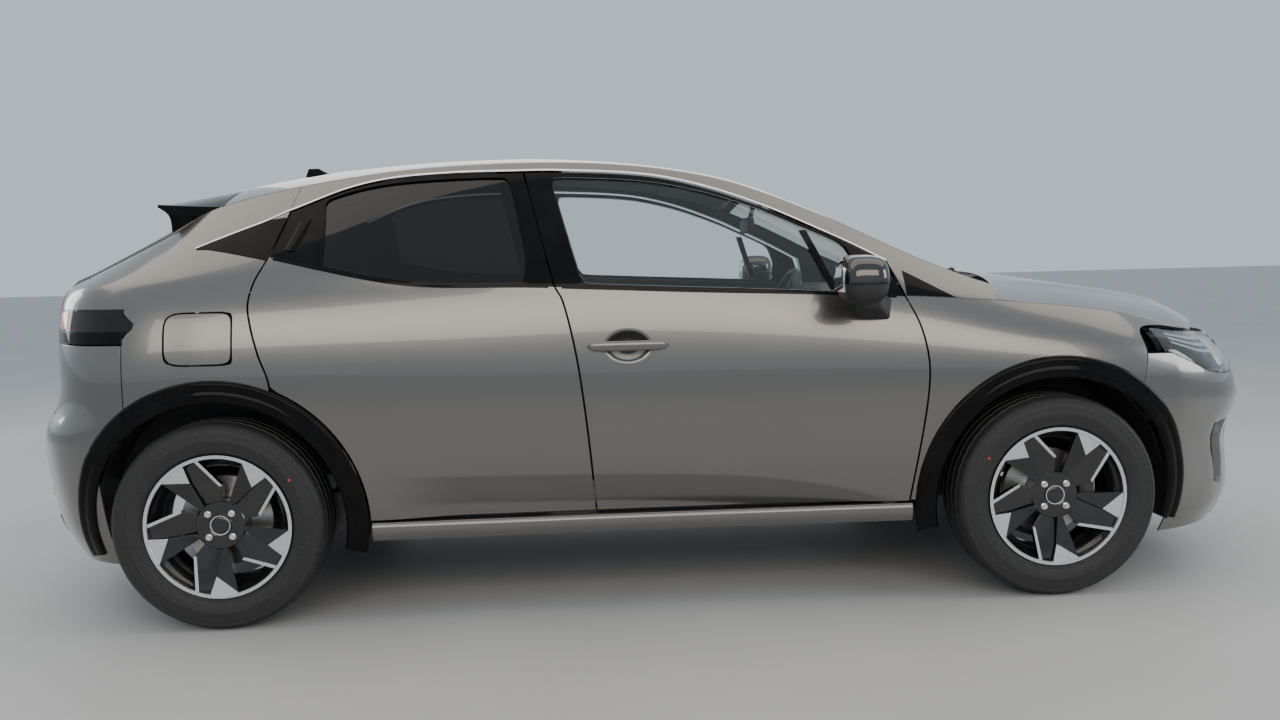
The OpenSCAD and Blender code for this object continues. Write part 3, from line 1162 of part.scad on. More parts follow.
fin_x_share = .065;
module roof_fin() {
    x = station(fin_x_share);
    l = wheelbase * .05;
    h = body_h * .036;
    front = top(x + l / 2, 0)[2] + fine_gap;
    rear = top(x - l / 2, 0)[2] + fine_gap;
    color(dark) translate([0, l * .12, 0]) rotate([90, 0, 0]) linear_extrude(height = l * .24)
        polygon([[x + l / 2, front], [x + l / 2, front + h * .2], [x, (front + rear) / 2 + h * .7],
            [x - l * .4, rear + h], [x - l / 2, rear + h], [x - l / 2, rear]]);
}
// Body halves of all the hinges
module hinges() {
    color(metal) {
        both_sides() {
            for (s = hinge_z_shares) {
                body_hinge(front_pin, s * body_h);
                body_hinge(rear_pin, s * body_h);
            }
            // tailgate pins run out sideways to the rear pillar
            translate([lid_pin_x, -lid_pin_half + hinge_h, lid_pin_z]) rotate([90, 0, 0])
                cylinder(h = hinge_h + 2.2 * shut_gap, r = pin_r);
            // bonnet pins stand on posts from the scuttle
            translate([bonnet_pin_x, -bonnet_pin_y + hinge_h / 2, bonnet_pin_z]) rotate([90, 0, 0])
                cylinder(h = 2 * hinge_h, r = pin_r);
            translate([bonnet_pin_x - barrel_r, -bonnet_pin_y - hinge_h * 1.5, bonnet_pin_z - body_h * .08])
                cube([2 * barrel_r, hinge_h * .8, body_h * .08]);
        }
    }
}

floor_pan();
side_frames();
quarter_panels();
quarter_trims();
filler_bowl();
roof();
windscreen();
cowl();
wings();
front_bumper();
grille();
headlamps();
rear_bumper();
taillamps();
arch_trims();
sill_trims();
hinges();
engine_block();
fuel_tank();
exhaust();
front_subframe();
rear_axle();
front_seats();
rear_seat();
dashboard();
wipers();
roof_fin();
right_front_door();
left_front_door();
right_rear_door();
left_rear_door();
right_front_glass();
left_front_glass();
right_rear_glass();
left_rear_glass();
right_mirror();
left_mirror();
bonnet();
tailgate();
tailgate_glass();
spoiler();
fuel_flap();
steering_wheel();
right_knuckle();
left_knuckle();
right_front_wheel();
left_front_wheel();
right_rear_wheel();
left_rear_wheel();
right_front_tyre();
left_front_tyre();
right_rear_tyre();
left_rear_tyre();
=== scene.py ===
"""Looks of a small hatchback car: smooth panels, glass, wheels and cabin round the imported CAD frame."""
import bisect
import logging
import math
from dataclasses import dataclass
from enum import Enum
from typing import Callable, Optional, Sequence

import bmesh
import bpy
from mathutils import Matrix, Vector


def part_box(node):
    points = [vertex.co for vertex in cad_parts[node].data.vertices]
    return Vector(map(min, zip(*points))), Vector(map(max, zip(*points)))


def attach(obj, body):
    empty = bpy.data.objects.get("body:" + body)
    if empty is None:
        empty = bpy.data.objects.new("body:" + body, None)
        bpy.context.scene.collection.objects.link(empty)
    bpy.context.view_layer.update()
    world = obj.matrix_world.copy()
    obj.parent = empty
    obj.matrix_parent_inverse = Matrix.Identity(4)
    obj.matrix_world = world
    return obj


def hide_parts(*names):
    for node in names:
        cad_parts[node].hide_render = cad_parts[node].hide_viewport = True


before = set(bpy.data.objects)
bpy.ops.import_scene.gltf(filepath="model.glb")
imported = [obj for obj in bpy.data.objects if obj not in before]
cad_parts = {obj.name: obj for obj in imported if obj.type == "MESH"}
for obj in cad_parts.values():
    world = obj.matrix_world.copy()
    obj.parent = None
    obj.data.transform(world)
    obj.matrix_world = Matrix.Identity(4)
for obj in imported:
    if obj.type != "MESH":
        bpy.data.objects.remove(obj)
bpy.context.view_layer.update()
LOG = logging.getLogger("hatchback")

Mesh = bmesh.types.BMesh
Tree = bpy.types.NodeTree
Socket = bpy.types.NodeSocket
Place = Callable[[float, float, float], Vector]
Depth = Callable[[float, float], float]
Keep = Callable[[float, float], bool]
Colour = tuple[float, float, float]
Shares = Sequence[tuple[float, float]]


class Side(Enum):
    """The car's two sides, by the sign of Y."""

    RIGHT = -1
    LEFT = 1

    @property
    def word(self) -> str:
        """The side's name as node names use it."""
        return self.name.lower()


class Row(Enum):
    """Front or rear of a pair."""

    FRONT = "front"
    REAR = "rear"


class Grain(Enum):
    """Fine structure of a finish."""

    PLAIN = "plain"
    FLAKE = "flake"
    GRAINED = "grained"
    WOVEN = "woven"
    TURNED = "turned"


def mix(a: float, b: float, q: float) -> float:
    """Goes from a to b as q goes from 0 to 1."""
    return a + (b - a) * q


def part(q: float, a: float, b: float) -> float:
    """Share of the way from a to b, held between 0 and 1."""
    return min(1.0, max(0.0, (q - a) / (b - a)))


def ease(q: float, a: float, b: float) -> float:
    """Smooth step from 0 at a to 1 at b."""
    t = part(q, a, b)
    return t * t * (3 - 2 * t)


def steps(a: float, b: float, count: int) -> list[float]:
    """Evenly spaced values from a to b in that many steps."""
    return [mix(a, b, i / count) for i in range(count + 1)]


def unit(count: int) -> list[float]:
    """Evenly spaced values from 0 to 1 in that many steps."""
    return steps(0, 1, count)


def fill(stops: Sequence[float], step: float) -> list[float]:
    """The stops with extra values between them, no further apart than the step."""
    out = [stops[0]]
    for a, b in zip(stops, stops[1:]):
        count = max(1, math.ceil(abs(b - a) / step - 1e-6))
        out += steps(a, b, count)[1:]
    return out


class Line:
    """A smooth curve through a table of points."""

    def __init__(self, points: Shares) -> None:
        """Keeps the points and the slope at each."""
        self.xs = [p[0] for p in points]
        self.ys = [p[1] for p in points]
        last = len(points) - 1
        self.slopes = [self._rise(max(0, i - 1), min(last, i + 1)) for i in range(last + 1)]

    def _rise(self, a: int, b: int) -> float:
        """Slope between two points of the table."""
        return (self.ys[b] - self.ys[a]) / (self.xs[b] - self.xs[a])

    def __call__(self, x: float) -> float:
        """Value at x, held at the ends of the table."""
        i = min(max(bisect.bisect_right(self.xs, x) - 1, 0), len(self.xs) - 2)
        h = self.xs[i + 1] - self.xs[i]
        q = min(1.0, max(0.0, (x - self.xs[i]) / h))
        q2, q3 = q * q, q * q * q
        return ((2 * q3 - 3 * q2 + 1) * self.ys[i] + (q3 - 2 * q2 + q) * h * self.slopes[i]
                + (3 * q2 - 2 * q3) * self.ys[i + 1] + (q3 - q2) * h * self.slopes[i + 1])


@dataclass
class CarForm:
    """Main sizes in metres, and the surfaces that all panels follow."""

    wheelbase: float = 2.591
    front_overhang: float = 0.845
    rear_overhang: float = 0.680
    width: float = 1.768
    height: float = 1.451
    track: float = 1.540
    tyre_d: float = 0.640
    tyre_w: float = 0.196
    rim_d: float = 0.441
    rim_w: float = 0.176
    gap: float = 0.006
    door_t: float = 0.092
    frame_t: float = 0.042
    skin_t: float = 0.005
    roof_t: float = 0.020
    lid_t: float = 0.028
    glass_t: float = 0.005
    arch_proud: float = 0.010
    arch_in_r: float = 0.378
    arch_out_r: float = 0.446
    rail_lap: float = 0.012
    hinge_back: float = 0.080
    lamp_low: float = 0.604
    lamp_high: float = 0.676
    lamp_tip: float = -0.309
    bumper_edge: float = -0.37
    roof_end: float = -0.024
    front_hinge: float = 0.498
    post_gap: float = 0.012

    def __post_init__(self) -> None:
        """Works out the stations and turns the tables of shares into curves."""
        self.x_nose = (self.wheelbase + self.front_overhang + self.rear_overhang) / 2
        self.x_front = self.x_nose - self.front_overhang
        self.x_rear = self.rear_overhang - self.x_nose
        self.tyre_r = self.tyre_d / 2
        self.half_w = self.width / 2 - self.arch_proud
        self.arch_cut_r = self.arch_out_r - 2 * self.arch_proud
        self.front_corner_x = self.station(1.044)
        self.rear_corner_x = self.station(-0.18)
        self.waist_half = self.along(self.half_w, [
            (-1, .985), (-.2, .99), (0, .997), (.3, .99), (.5, .982), (.8, .985), (1, .992), (2, .985)])
        self.waist_z = self.along(self.height, [(-1, .46), (0, .50), (.5, .46), (1, .48), (2, .44)])
        self.shoulder_z = self.along(self.height, [
            (-1, .70), (-.6, .715), (-.03, .727), (.2, .713), (.4, .698), (.57, .683), (.725, .67), (.868, .656),
            (1, .634), (1.221, .617), (1.4, .596), (1.576, .570), (1.7, .552), (1.813, .535), (2, .50)])
        self.shoulder_half = self.along(self.half_w, [
            (-1, .90), (-.5, .89), (0, .905), (.2, .925), (.5, .935), (.72, .93), (.868, .915), (1, .885),
            (1.25, .87), (1.6, .86), (2, .86)])
        self.rail_z = self.along(self.height, [
            (-1, .706), (-.8, .716), (-.63, .748), (-.29, .826), (-.05, .885), (.1, .93), (.25, .963), (.45, .966),
            (.6, .928), (.72, .848), (.85, .738), (.95, .672), (1.1, .645)])
        self.rail_half = self.along(self.half_w, [
            (-1, 1), (-.738, .92), (-.63, .80), (-.29, .672), (-.05, .655), (.1, .672), (.25, .685), (.45, .692),
            (.6, .705), (.72, .74), (.85, .80), (.95, .84), (1.1, .86)])
        self.top_z = self.along(self.height, [
            (-1, .70), (-.86, .728), (-.63, .790), (-.47, .828), (-.33, .868), (-.18, .91), (-.02, .947), (.059, .968),
            (.112, .981), (.192, .992), (.2725, .999), (.367, 1), (.461, .99), (.57, .965), (.652, .93), (.735, .8725),
            (.805, .812), (.875, .746), (.917, .714), (.941, .693), (1, .66)])
        self.bonnet_z = self.along(self.height, [
            (.93, .707), (1, .698), (1.22, .677), (1.44, .655), (1.655, .624), (1.813, .586), (1.908, .548), (2, .49)])
        self.nose_x = self.up([
            (.10, 1.90), (.125, 1.93), (.18, 1.985), (.25, 1.975), (.32, 1.95), (.40, 2), (.46, 1.98), (.52, 1.935),
            (.56, 1.885), (.59, 1.80), (.62, 1.69), (.66, 1.46), (.70, 1.08), (.8, 1.08)])
        self.tail_x = self.up([
            (.12, -.84), (.2, -.945), (.28, -.98), (.37, -1), (.42, -.98), (.46, -.92), (.5, -.895), (.6, -.893),
            (.68, -.885), (.71, -.86), (.745, -.77), (.787, -.63), (.825, -.47), (.866, -.33), (.9, -.26), (1, -.24)])
        self.front_shut = self.up([
            (.165, .819), (.214, .8205), (.423, .8375), (.498, .841), (.5486, .8387), (.605, .8313), (.658, .8182),
            (.6926, .8086), (.73, .799), (.8, .779), (.9, .748), (1, .725)])
        self.middle_shut = self.up([
            (.165, .4438), (.218, .4408), (.357, .4346), (.495, .4265), (.588, .4184), (.674, .4068), (.702, .3983),
            (.917, .3674), (1, .3555)])
        self.rear_shut = self.up([
            (.165, .06), (.508, .0691), (.579, .0571), (.6416, .0482), (.6795, .0452), (.7223, .0498), (.7657, .0614),
            (.7994, .0695), (.8698, .0822), (1, .1034)])
        self.belt = self.along(self.height, [
            (-.107, .796), (-.0235, .7946), (.0668, .7684), (.1285, .745), (.2046, .718), (.2605, .7078), (.3667, .703),
            (.4411, .696), (.5693, .6837), (.7252, .6713), (.817, .66), (.8607, .658), (.9, .656)])
        self.window_top = self.along(self.height, [
            (-.107, .796), (.0216, .831), (.088, .8746), (.147, .9152), (.1988, .9359), (.2721, .9456), (.3462, .9469),
            (.4053, .9462), (.5129, .9331), (.5851, .9049), (.6577, .8587), (.7086, .8174), (.765, .7684),
            (.8367, .6988), (.8827, .6533), (.92, .62)])

    def station(self, s: float) -> float:
        """X of a station: -1 tail, 0 rear axle, 1 front axle, 2 nose."""
        if s < 0:
            return self.x_rear + s * self.rear_overhang
        return self.x_front + (s - 1) * self.front_overhang if s > 1 else self.x_rear + s * self.wheelbase

    def along(self, size: float, shares: Shares) -> Line:
        """A line along the car, in shares of a size."""
        return Line([(self.station(s), q * size) for s, q in shares])

    def up(self, shares: Shares) -> Line:
        """A line up the car: station against share of the height."""
        return Line([(q * self.height, self.station(s)) for q, s in shares])

    def section_half(self, x: float, z: float) -> float:
        """Half width of the body's section, before the nose and tail round it off."""
        p, zw = self.waist_half(x), self.waist_z(x)
        if z < zw:
            return p - .062 * self.half_w * ((zw - z) / (zw - .165 * self.height)) ** 2
        zs, ys = self.shoulder_z(x), self.shoulder_half(x)
        if z < zs:
            return p - (p - ys) * ((z - zw) / (zs - zw)) ** 2.4
        zr = max(self.rail_z(x), zs + .001)
        return ys - (ys - self.rail_half(x)) * ((z - zs) / (zr - zs)) ** 1.2

    @staticmethod
    def round_off(t: float, n: float) -> float:
        """Quarter of a superellipse, from 1 down to 0."""
        return 1.0 if t <= 0 else 0.0 if t >= 1 else (1 - t ** n) ** (1 / n)

    def side_half(self, x: float, z: float) -> float:
        """Half width of the skin at a place seen from the side."""
        half = self.section_half(x, z)
        if x > self.front_corner_x:
            return half * self.round_off((x - self.front_corner_x) / (self.nose_x(z) - self.front_corner_x), 2.8)
        if x < self.rear_corner_x:
            return half * self.round_off((self.rear_corner_x - x) / (self.rear_corner_x - self.tail_x(z)), 3)
        return half

    def side(self, x: float, z: float, inward: float = 0) -> Vector:
        """Point of the right side."""
        return Vector((x, inward - self.side_half(x, z), z))

    @staticmethod
    def crown(top: float, edge_z: float, edge_half: float, y: float, n: float) -> float:
        """Height of a crowned sheet at y."""
        return top - (top - edge_z) * min(1.0, abs(y) / edge_half) ** n

    def top(self, x: float, y: float, down: float = 0) -> Vector:
        """Point of the roof, windscreen or rear glass."""
        zr = self.rail_z(x)
        return Vector((x, y, self.crown(self.top_z(x), zr, self.side_half(x, zr), y, 2.5) - down))

    def bonnet_top(self, x: float, y: float, down: float = 0) -> Vector:
        """Point of the bonnet's sheet."""
        zs = self.shoulder_z(x)
        n = mix(2.5, 4.2, part(x, self.x_front, self.station(1.6)))
        return Vector((x, y, self.crown(self.bonnet_z(x), zs, self.side_half(x, zs), y, n) - down))

    def bonnet_rear(self, w: float) -> float:
        """X of the bonnet's rear edge, w across."""
        return mix(self.station(.982), self.station(.937), w * w)

    def _wrapped(self, a: float, z: float, inward: float, ahead: bool) -> Vector:
        """Point of the nose or tail at a plan angle in degrees."""
        corner = self.front_corner_x if ahead else self.rear_corner_x
        tip, square = (self.nose_x(z), 2.8) if ahead else (self.tail_x(z), 3)
        t = math.radians(abs(a))
        x = corner + (tip - corner) * max(0.0, math.cos(t)) ** (2 / square)
        y = 0.0 if abs(a) < .1 else self.side_half(x, z) - inward * math.sin(t)
        return Vector((x - (1 if ahead else -1) * inward * math.cos(t), -math.copysign(y, a), z))

    def nose(self, a: float, z: float, inward: float = 0) -> Vector:
        """Point of the nose: angle 0 on the middle line, 90 on the right side."""
        return self._wrapped(a, z, inward, True)

    def tail(self, a: float, z: float, inward: float = 0) -> Vector:
        """Point of the tail, by angle as for the nose."""
        return self._wrapped(a, z, inward, False)

    def arch_reach(self, r: float, z: float) -> float:
        """Distance along X from a wheel's middle to an arch of that radius."""
        return math.sqrt(max(0.0, r * r - (z - self.tyre_r) ** 2)) if z > self.tyre_r else r

    def arch_top(self, x: float, axle_x: float, r: float) -> float:
        """Height of an arch of that radius at x."""
        d = abs(x - axle_x)
        return self.tyre_r + (math.sqrt(r * r - d * d) if d < r else 0.0)


FORM = CarForm()


@dataclass(frozen=True)
class Finish:
    """A procedural surface: colour, gloss and fine structure."""

    name: str
    slot: str
    colour: Colour
    second: Colour
    roughness: float
    metallic: float = 0.0
    coat: float = 0.0
    transmission: float = 0.0
    grain: Grain = Grain.PLAIN
    scale: float = 40.0
    depth: float = 0.0
    spread: float = 0.06
    sheen: float = 0.0
    glow: float = 0.0
    specular: float = 0.5

    def material(self) -> bpy.types.Material:
        """Returns the finish as a node material, made once."""
        found = bpy.data.materials.get(self.name)
        if found:
            return found
        mat = bpy.data.materials.new(self.name)
        mat.use_nodes = True
        tree = mat.node_tree
        shader = tree.nodes["Principled BSDF"]
        values = {"Metallic": self.metallic, "Coat Weight": self.coat, "Coat Roughness": .03, "IOR": 1.45,
                  "Transmission Weight": self.transmission, "Specular IOR Level": self.specular,
                  "Sheen Weight": self.sheen}
        for key, value in values.items():
            shader.inputs[key].default_value = value
        if self.glow:
            shader.inputs["Emission Color"].default_value = (*self.colour, 1)
            shader.inputs["Emission Strength"].default_value = self.glow
        place = tree.nodes.new("ShaderNodeTexCoord").outputs["Object"]
        self._tone(tree, shader, place)
        self._gloss(tree, shader, place)
        if self.depth:
            self._relief(tree, shader, place)
        return mat

    def _noise(self, tree: Tree, place: Socket, scale: float, detail: float) -> Socket:
        """Adds a noise pattern and returns its value."""
        node = tree.nodes.new("ShaderNodeTexNoise")
        node.inputs["Scale"].default_value = scale
        node.inputs["Detail"].default_value = detail
        tree.links.new(place, node.inputs["Vector"])
        return node.outputs["Fac"]

    def _tone(self, tree: Tree, shader: bpy.types.Node, place: Socket) -> None:
        """Varies the colour between its two tones."""
        scale = self.scale * (18 if self.grain is Grain.FLAKE else .35)
        value = self._noise(tree, place, scale, 3)
        ramp = tree.nodes.new("ShaderNodeValToRGB")
        ramp.color_ramp.elements[0].position = .35
        ramp.color_ramp.elements[1].position = .65
        ramp.color_ramp.elements[0].color = (*self.colour, 1)
        ramp.color_ramp.elements[1].color = (*self.second, 1)
        tree.links.new(value, ramp.inputs["Fac"])
        tree.links.new(ramp.outputs["Color"], shader.inputs["Base Color"])

    def _gloss(self, tree: Tree, shader: bpy.types.Node, place: Socket) -> None:
        """Varies the roughness a little over the surface."""
        value = self._noise(tree, place, self.scale * .2, 4)
        span = tree.nodes.new("ShaderNodeMapRange")
        span.inputs["To Min"].default_value = max(.0, self.roughness * (1 - self.spread))
        span.inputs["To Max"].default_value = min(1.0, self.roughness * (1 + self.spread))
        tree.links.new(value, span.inputs["Value"])
        tree.links.new(span.outputs["Result"], shader.inputs["Roughness"])

    def _relief(self, tree: Tree, shader: bpy.types.Node, place: Socket) -> None:
        """Adds the grain, weave or turning marks as a bump."""
        if self.grain in (Grain.WOVEN, Grain.TURNED):
            node = tree.nodes.new("ShaderNodeTexWave")
            node.wave_type = "RINGS" if self.grain is Grain.TURNED else "BANDS"
            node.bands_direction = "DIAGONAL"
            node.inputs["Scale"].default_value = self.scale
            node.inputs["Distortion"].default_value = 1.5
            tree.links.new(place, node.inputs["Vector"])
            height = node.outputs["Fac"]
        elif self.grain is Grain.GRAINED:
            node = tree.nodes.new("ShaderNodeTexVoronoi")
            node.inputs["Scale"].default_value = self.scale
            tree.links.new(place, node.inputs["Vector"])
            height = node.outputs["Distance"]
        else:
            height = self._noise(tree, place, self.scale, 2)
        bump = tree.nodes.new("ShaderNodeBump")
        bump.inputs["Strength"].default_value = self.depth
        bump.inputs["Distance"].default_value = .001
        tree.links.new(height, bump.inputs["Height"])
        tree.links.new(bump.outputs["Normal"], shader.inputs["Normal"])


PAINT = Finish("warm_grey_paint", "paint", (.155, .150, .146), (.185, .179, .173), .26, .82, 1.0, grain=Grain.FLAKE,
               scale=60, depth=.003)
GLOSS = Finish("gloss_black_trim", "gloss_black", (.003, .003, .0035), (.006, .006, .0065), .07, scale=30,
               depth=.003, specular=.15)
PLASTIC = Finish("grained_black_plastic", "black_plastic", (.018, .018, .019), (.028, .028, .029), .52,
                 grain=Grain.GRAINED, scale=700, depth=.12)
CLEAR = Finish("clear_window_glass", "clear_glass", (.90, .93, .92), (.91, .94, .93), .004, transmission=1, scale=2)
TINTED = Finish("tinted_glass", "dark_glass", (.10, .10, .105), (.11, .11, .115), .004, transmission=1, scale=2)
LAMP = Finish("lamp_cover", "lamp_clear", (.95, .96, .97), (.96, .97, .98), .004, transmission=1, scale=2)
SMOKED = Finish("smoked_lamp_cover", "lamp_red", (.20, .17, .17), (.22, .19, .19), .01, transmission=1, scale=2)
RED = Finish("red_lamp_body", "lamp_red", (.52, .012, .016), (.58, .018, .02), .16, coat=.8, scale=300, depth=.05,
             grain=Grain.GRAINED, glow=.15)
CHROME = Finish("bright_metal", "alloy", (.72, .72, .73), (.78, .78, .79), .09, 1.0, scale=60)
DARK_CHROME = Finish("dark_bright_metal", "gloss_black", (.075, .072, .070), (.095, .092, .090), .08, 1.0, coat=.3,
                     scale=20)
MACHINED = Finish("machined_alloy", "alloy", (.66, .68, .70), (.74, .76, .78), .24, .9, coat=.5, grain=Grain.TURNED,
                  scale=420, depth=.05)
WHEEL_BLACK = Finish("gloss_black_alloy", "alloy", (.008, .008, .009), (.014, .014, .015), .16, .2, coat=.8, scale=40)
WHEEL_GREY = Finish("dark_grey_alloy", "alloy", (.014, .015, .017), (.020, .021, .024), .22, .4, coat=.6, scale=40)
RUBBER = Finish("tyre_rubber", "tyre", (.016, .016, .017), (.026, .026, .027), .55, grain=Grain.GRAINED, scale=500,
                depth=.10)
DISC = Finish("turned_brake_iron", "steel", (.42, .41, .40), (.50, .49, .48), .32, .9, grain=Grain.TURNED, scale=500,
              depth=.08)
STEEL = Finish("plain_steel", "steel", (.22, .22, .225), (.30, .30, .305), .42, .8, scale=80, depth=.03)
CAST = Finish("rough_cast_iron", "cast", (.10, .10, .105), (.15, .15, .155), .6, .6, grain=Grain.GRAINED, scale=300,
              depth=.25)
PRIMER = Finish("sealed_body_steel", "body_steel", (.035, .035, .036), (.05, .05, .051), .55, .2, scale=120, depth=.06)
CLOTH = Finish("woven_seat_cloth", "cloth", (.030, .030, .033), (.055, .055, .060), .85, grain=Grain.WOVEN, scale=420,
               depth=.35, sheen=.3)
PIPING = Finish("pale_seat_panel", "cloth", (.20, .20, .205), (.26, .26, .265), .8, grain=Grain.WOVEN, scale=420,
                depth=.3, sheen=.3)
HEADLINER = Finish("pale_headliner", "cloth", (.30, .295, .285), (.36, .355, .345), .9, grain=Grain.GRAINED, scale=900,
                   depth=.1)
SCREEN = Finish("dark_display", "gloss_black", (.004, .005, .007), (.006, .007, .010), .06, coat=.5, scale=20)
WHITE_LAMP = Finish("white_lamp_body", "lamp_clear", (.75, .78, .82), (.82, .85, .88), .12, .6, coat=.6, scale=200,
                    depth=.04, grain=Grain.GRAINED)


def grid(us: Sequence[float], vs: Sequence[float], place: Callable[[float, float], Vector],
         keep: Optional[Keep] = None) -> Mesh:
    """Lays a grid on a surface.

    Args:
        us: Values of the first parameter, one for each column.
        vs: Values of the second parameter, one for each row.
        place: Gives the point for two parameters.
        keep: Says which cells stay, by the parameters of their middle.

    Returns:
        The sheet, with its parameters kept on the vertices.
    """
    bm = bmesh.new()
    bmesh.ops.create_grid(bm, x_segments=len(us) - 1, y_segments=len(vs) - 1, size=1.0)
    lu, lv = bm.verts.layers.float.new("u"), bm.verts.layers.float.new("v")
    for vert in bm.verts:
        u = us[round((vert.co.x + 1) / 2 * (len(us) - 1))]
        v = vs[round((vert.co.y + 1) / 2 * (len(vs) - 1))]
        vert[lu], vert[lv] = u, v
        vert.co = place(u, v)
    if keep:
        gone = [f for f in bm.faces
                if not keep(sum(w[lu] for w in f.verts) / 4, sum(w[lv] for w in f.verts) / 4)]
        bmesh.ops.delete(bm, geom=gone, context="FACES")
    return bm


def shell(us: Sequence[float], vs: Sequence[float], place: Place, depth: float | Depth,
          keep: Optional[Keep] = None, start: float = 0.0) -> Mesh:
    """Makes a closed panel between a surface and its inner side.

    Args:
        us: Columns.
        vs: Rows.
        place: Gives the point for two parameters and a depth.
        depth: Depth of the inner side, one for all or by parameters.
        keep: Says which cells stay.
        start: Depth of the outer side.

    Returns:
        The closed panel.
    """
    bm = grid(us, vs, lambda u, v: place(u, v, start), keep)
    lu, lv = bm.verts.layers.float["u"], bm.verts.layers.float["v"]
    made = bmesh.ops.extrude_face_region(bm, geom=bm.faces[:], use_keep_orig=True)["geom"]
    for vert in made:
        if isinstance(vert, bmesh.types.BMVert):
            inner = depth(vert[lu], vert[lv]) if callable(depth) else depth
            vert.co = place(vert[lu], vert[lv], inner)
    bmesh.ops.recalc_face_normals(bm, faces=bm.faces[:])
    return bm


def round_edges(bm: Mesh, width: float, segments: int = 3) -> None:
    """Rounds all edges of a mesh."""
    bmesh.ops.bevel(bm, geom=bm.edges[:], offset=width, offset_type="OFFSET", affect="EDGES", segments=segments,
                    profile=0.5, material=-1)


def cleaned(bm: Mesh, sides: int = 0, dist: float = 1e-6) -> Mesh:
    """Joins doubled points, fills open ends and turns the faces outwards.

    Args:
        bm: The mesh, changed in place.
        sides: Most sides that a filled end may have; 0 leaves the ends open.
        dist: Distance under which points count as doubled.

    Returns:
        The same mesh.
    """
    bmesh.ops.remove_doubles(bm, verts=bm.verts[:], dist=dist)
    if sides:
        bmesh.ops.holes_fill(bm, edges=[e for e in bm.edges if e.is_boundary], sides=sides)
    bmesh.ops.recalc_face_normals(bm, faces=bm.faces[:])
    return bm


def box(low: Sequence[float], high: Sequence[float], bevel: float, segments: int = 3) -> Mesh:
    """Makes a block with rounded edges between two corners."""
    bm = bmesh.new()
    bmesh.ops.create_cube(bm, size=1.0)
    bmesh.ops.scale(bm, vec=[b - a for a, b in zip(low, high)], verts=bm.verts[:])
    bmesh.ops.translate(bm, vec=[(a + b) / 2 for a, b in zip(low, high)], verts=bm.verts[:])
    if bevel:
        round_edges(bm, bevel, segments)
    return bm


def turned(profile: Shares, count: int, closed: bool = True) -> Mesh:
    """Turns a profile of radius and height about Z.

    Args:
        profile: Radius and height of each point.
        count: Number of steps round.
        closed: Whether the profile's last point joins its first.

    Returns:
        The turned mesh.
    """
    bm = bmesh.new()
    verts = [bm.verts.new((r, 0, z)) for r, z in profile]
    pairs = list(zip(verts, verts[1:])) + ([(verts[-1], verts[0])] if closed else [])
    edges = [bm.edges.new(p) for p in pairs]
    bmesh.ops.spin(bm, geom=verts + edges, cent=(0, 0, 0), axis=(0, 0, 1), dvec=(0, 0, 0), angle=2 * math.pi,
                   steps=count, use_merge=True)
    return cleaned(bm)


def tube(points: Sequence[Vector], radius: float, sides: int = 10) -> Mesh:
    """Sweeps a round section along points."""
    us, vs = list(range(len(points))), steps(0, 360, sides)

    def at(u: float, v: float) -> Vector:
        """Point of the ring round one of the points."""
        i = round(u)
        ahead = (points[min(i + 1, len(points) - 1)] - points[max(i - 1, 0)]).normalized()
        right = ahead.cross(Vector((0, 0, 1))).normalized()
        up = right.cross(ahead)
        a = math.radians(v)
        return points[i] + radius * (math.cos(a) * right + math.sin(a) * up)

    return cleaned(grid(us, vs, at), sides + 1)


def join(parts: Sequence[Mesh]) -> Mesh:
    """Puts several meshes in the first one and frees the rest."""
    whole = parts[0]
    for other in parts[1:]:
        spare = bpy.data.meshes.new("spare")
        other.to_mesh(spare)
        other.free()
        whole.from_mesh(spare)
        bpy.data.meshes.remove(spare)
    return whole


def flip(bm: Mesh) -> Mesh:
    """Mirrors a mesh to the other side of the car."""
    bmesh.ops.scale(bm, vec=(1, -1, 1), verts=bm.verts[:])
    bmesh.ops.reverse_faces(bm, faces=bm.faces[:])
    return bm


def both(make: Callable[[], Mesh]) -> Mesh:
    """Makes a right-hand mesh and its mirror image in one."""
    return join([make(), flip(make())])


def add(bm: Mesh, name: str, finish: Finish, body: str = "body", nodes: Sequence[str] = (),
        bevel: float = 0.0, sharp: float = 32.0, levels: int = 0) -> bpy.types.Object:
    """Turns a mesh into a piece of the car.

    Args:
        bm: The mesh, in the car's frame; it is freed.
        name: Name of the piece.
        finish: Its surface.
        body: CAD body that it rides on.
        nodes: CAD nodes that it stands for.
        bevel: Width of the rounding on its sharp edges.
        sharp: Angle past which an edge counts as sharp, in degrees.
        levels: Levels of subdivision.

    Returns:
        The new object.
    """
    for face in bm.faces:
        face.smooth = True
    if not bevel and not levels:
        for edge in bm.edges:
            edge.smooth = edge.calc_face_angle(0.0) < math.radians(sharp)
    mesh = bpy.data.meshes.new(name)
    bm.to_mesh(mesh)
    bm.free()
    mesh.materials.append(finish.material())
    obj = bpy.data.objects.new(name, mesh)
    bpy.context.scene.collection.objects.link(obj)
    if bevel:
        edge_mod = obj.modifiers.new("edges", "BEVEL")
        edge_mod.width, edge_mod.segments = bevel, 2
        edge_mod.limit_method, edge_mod.angle_limit = "ANGLE", math.radians(sharp)
        edge_mod.harden_normals = True
    if levels:
        smooth_mod = obj.modifiers.new("smooth", "SUBSURF")
        smooth_mod.levels = smooth_mod.render_levels = levels
    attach(obj, body)
    if nodes:
        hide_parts(*nodes)
    LOG.info("piece %s on %s", name, body)
    return obj


def pair(us: Sequence[float], vs: Sequence[float], place: Place, depth: float | Depth, name: str, finish: Finish,
         start: float = 0.0, **more: object) -> None:
    """Adds a panel of the right side and its mirror image; what add takes besides goes on to it."""
    add(both(lambda: shell(us, vs, place, depth, start=start)), name, finish, **more)


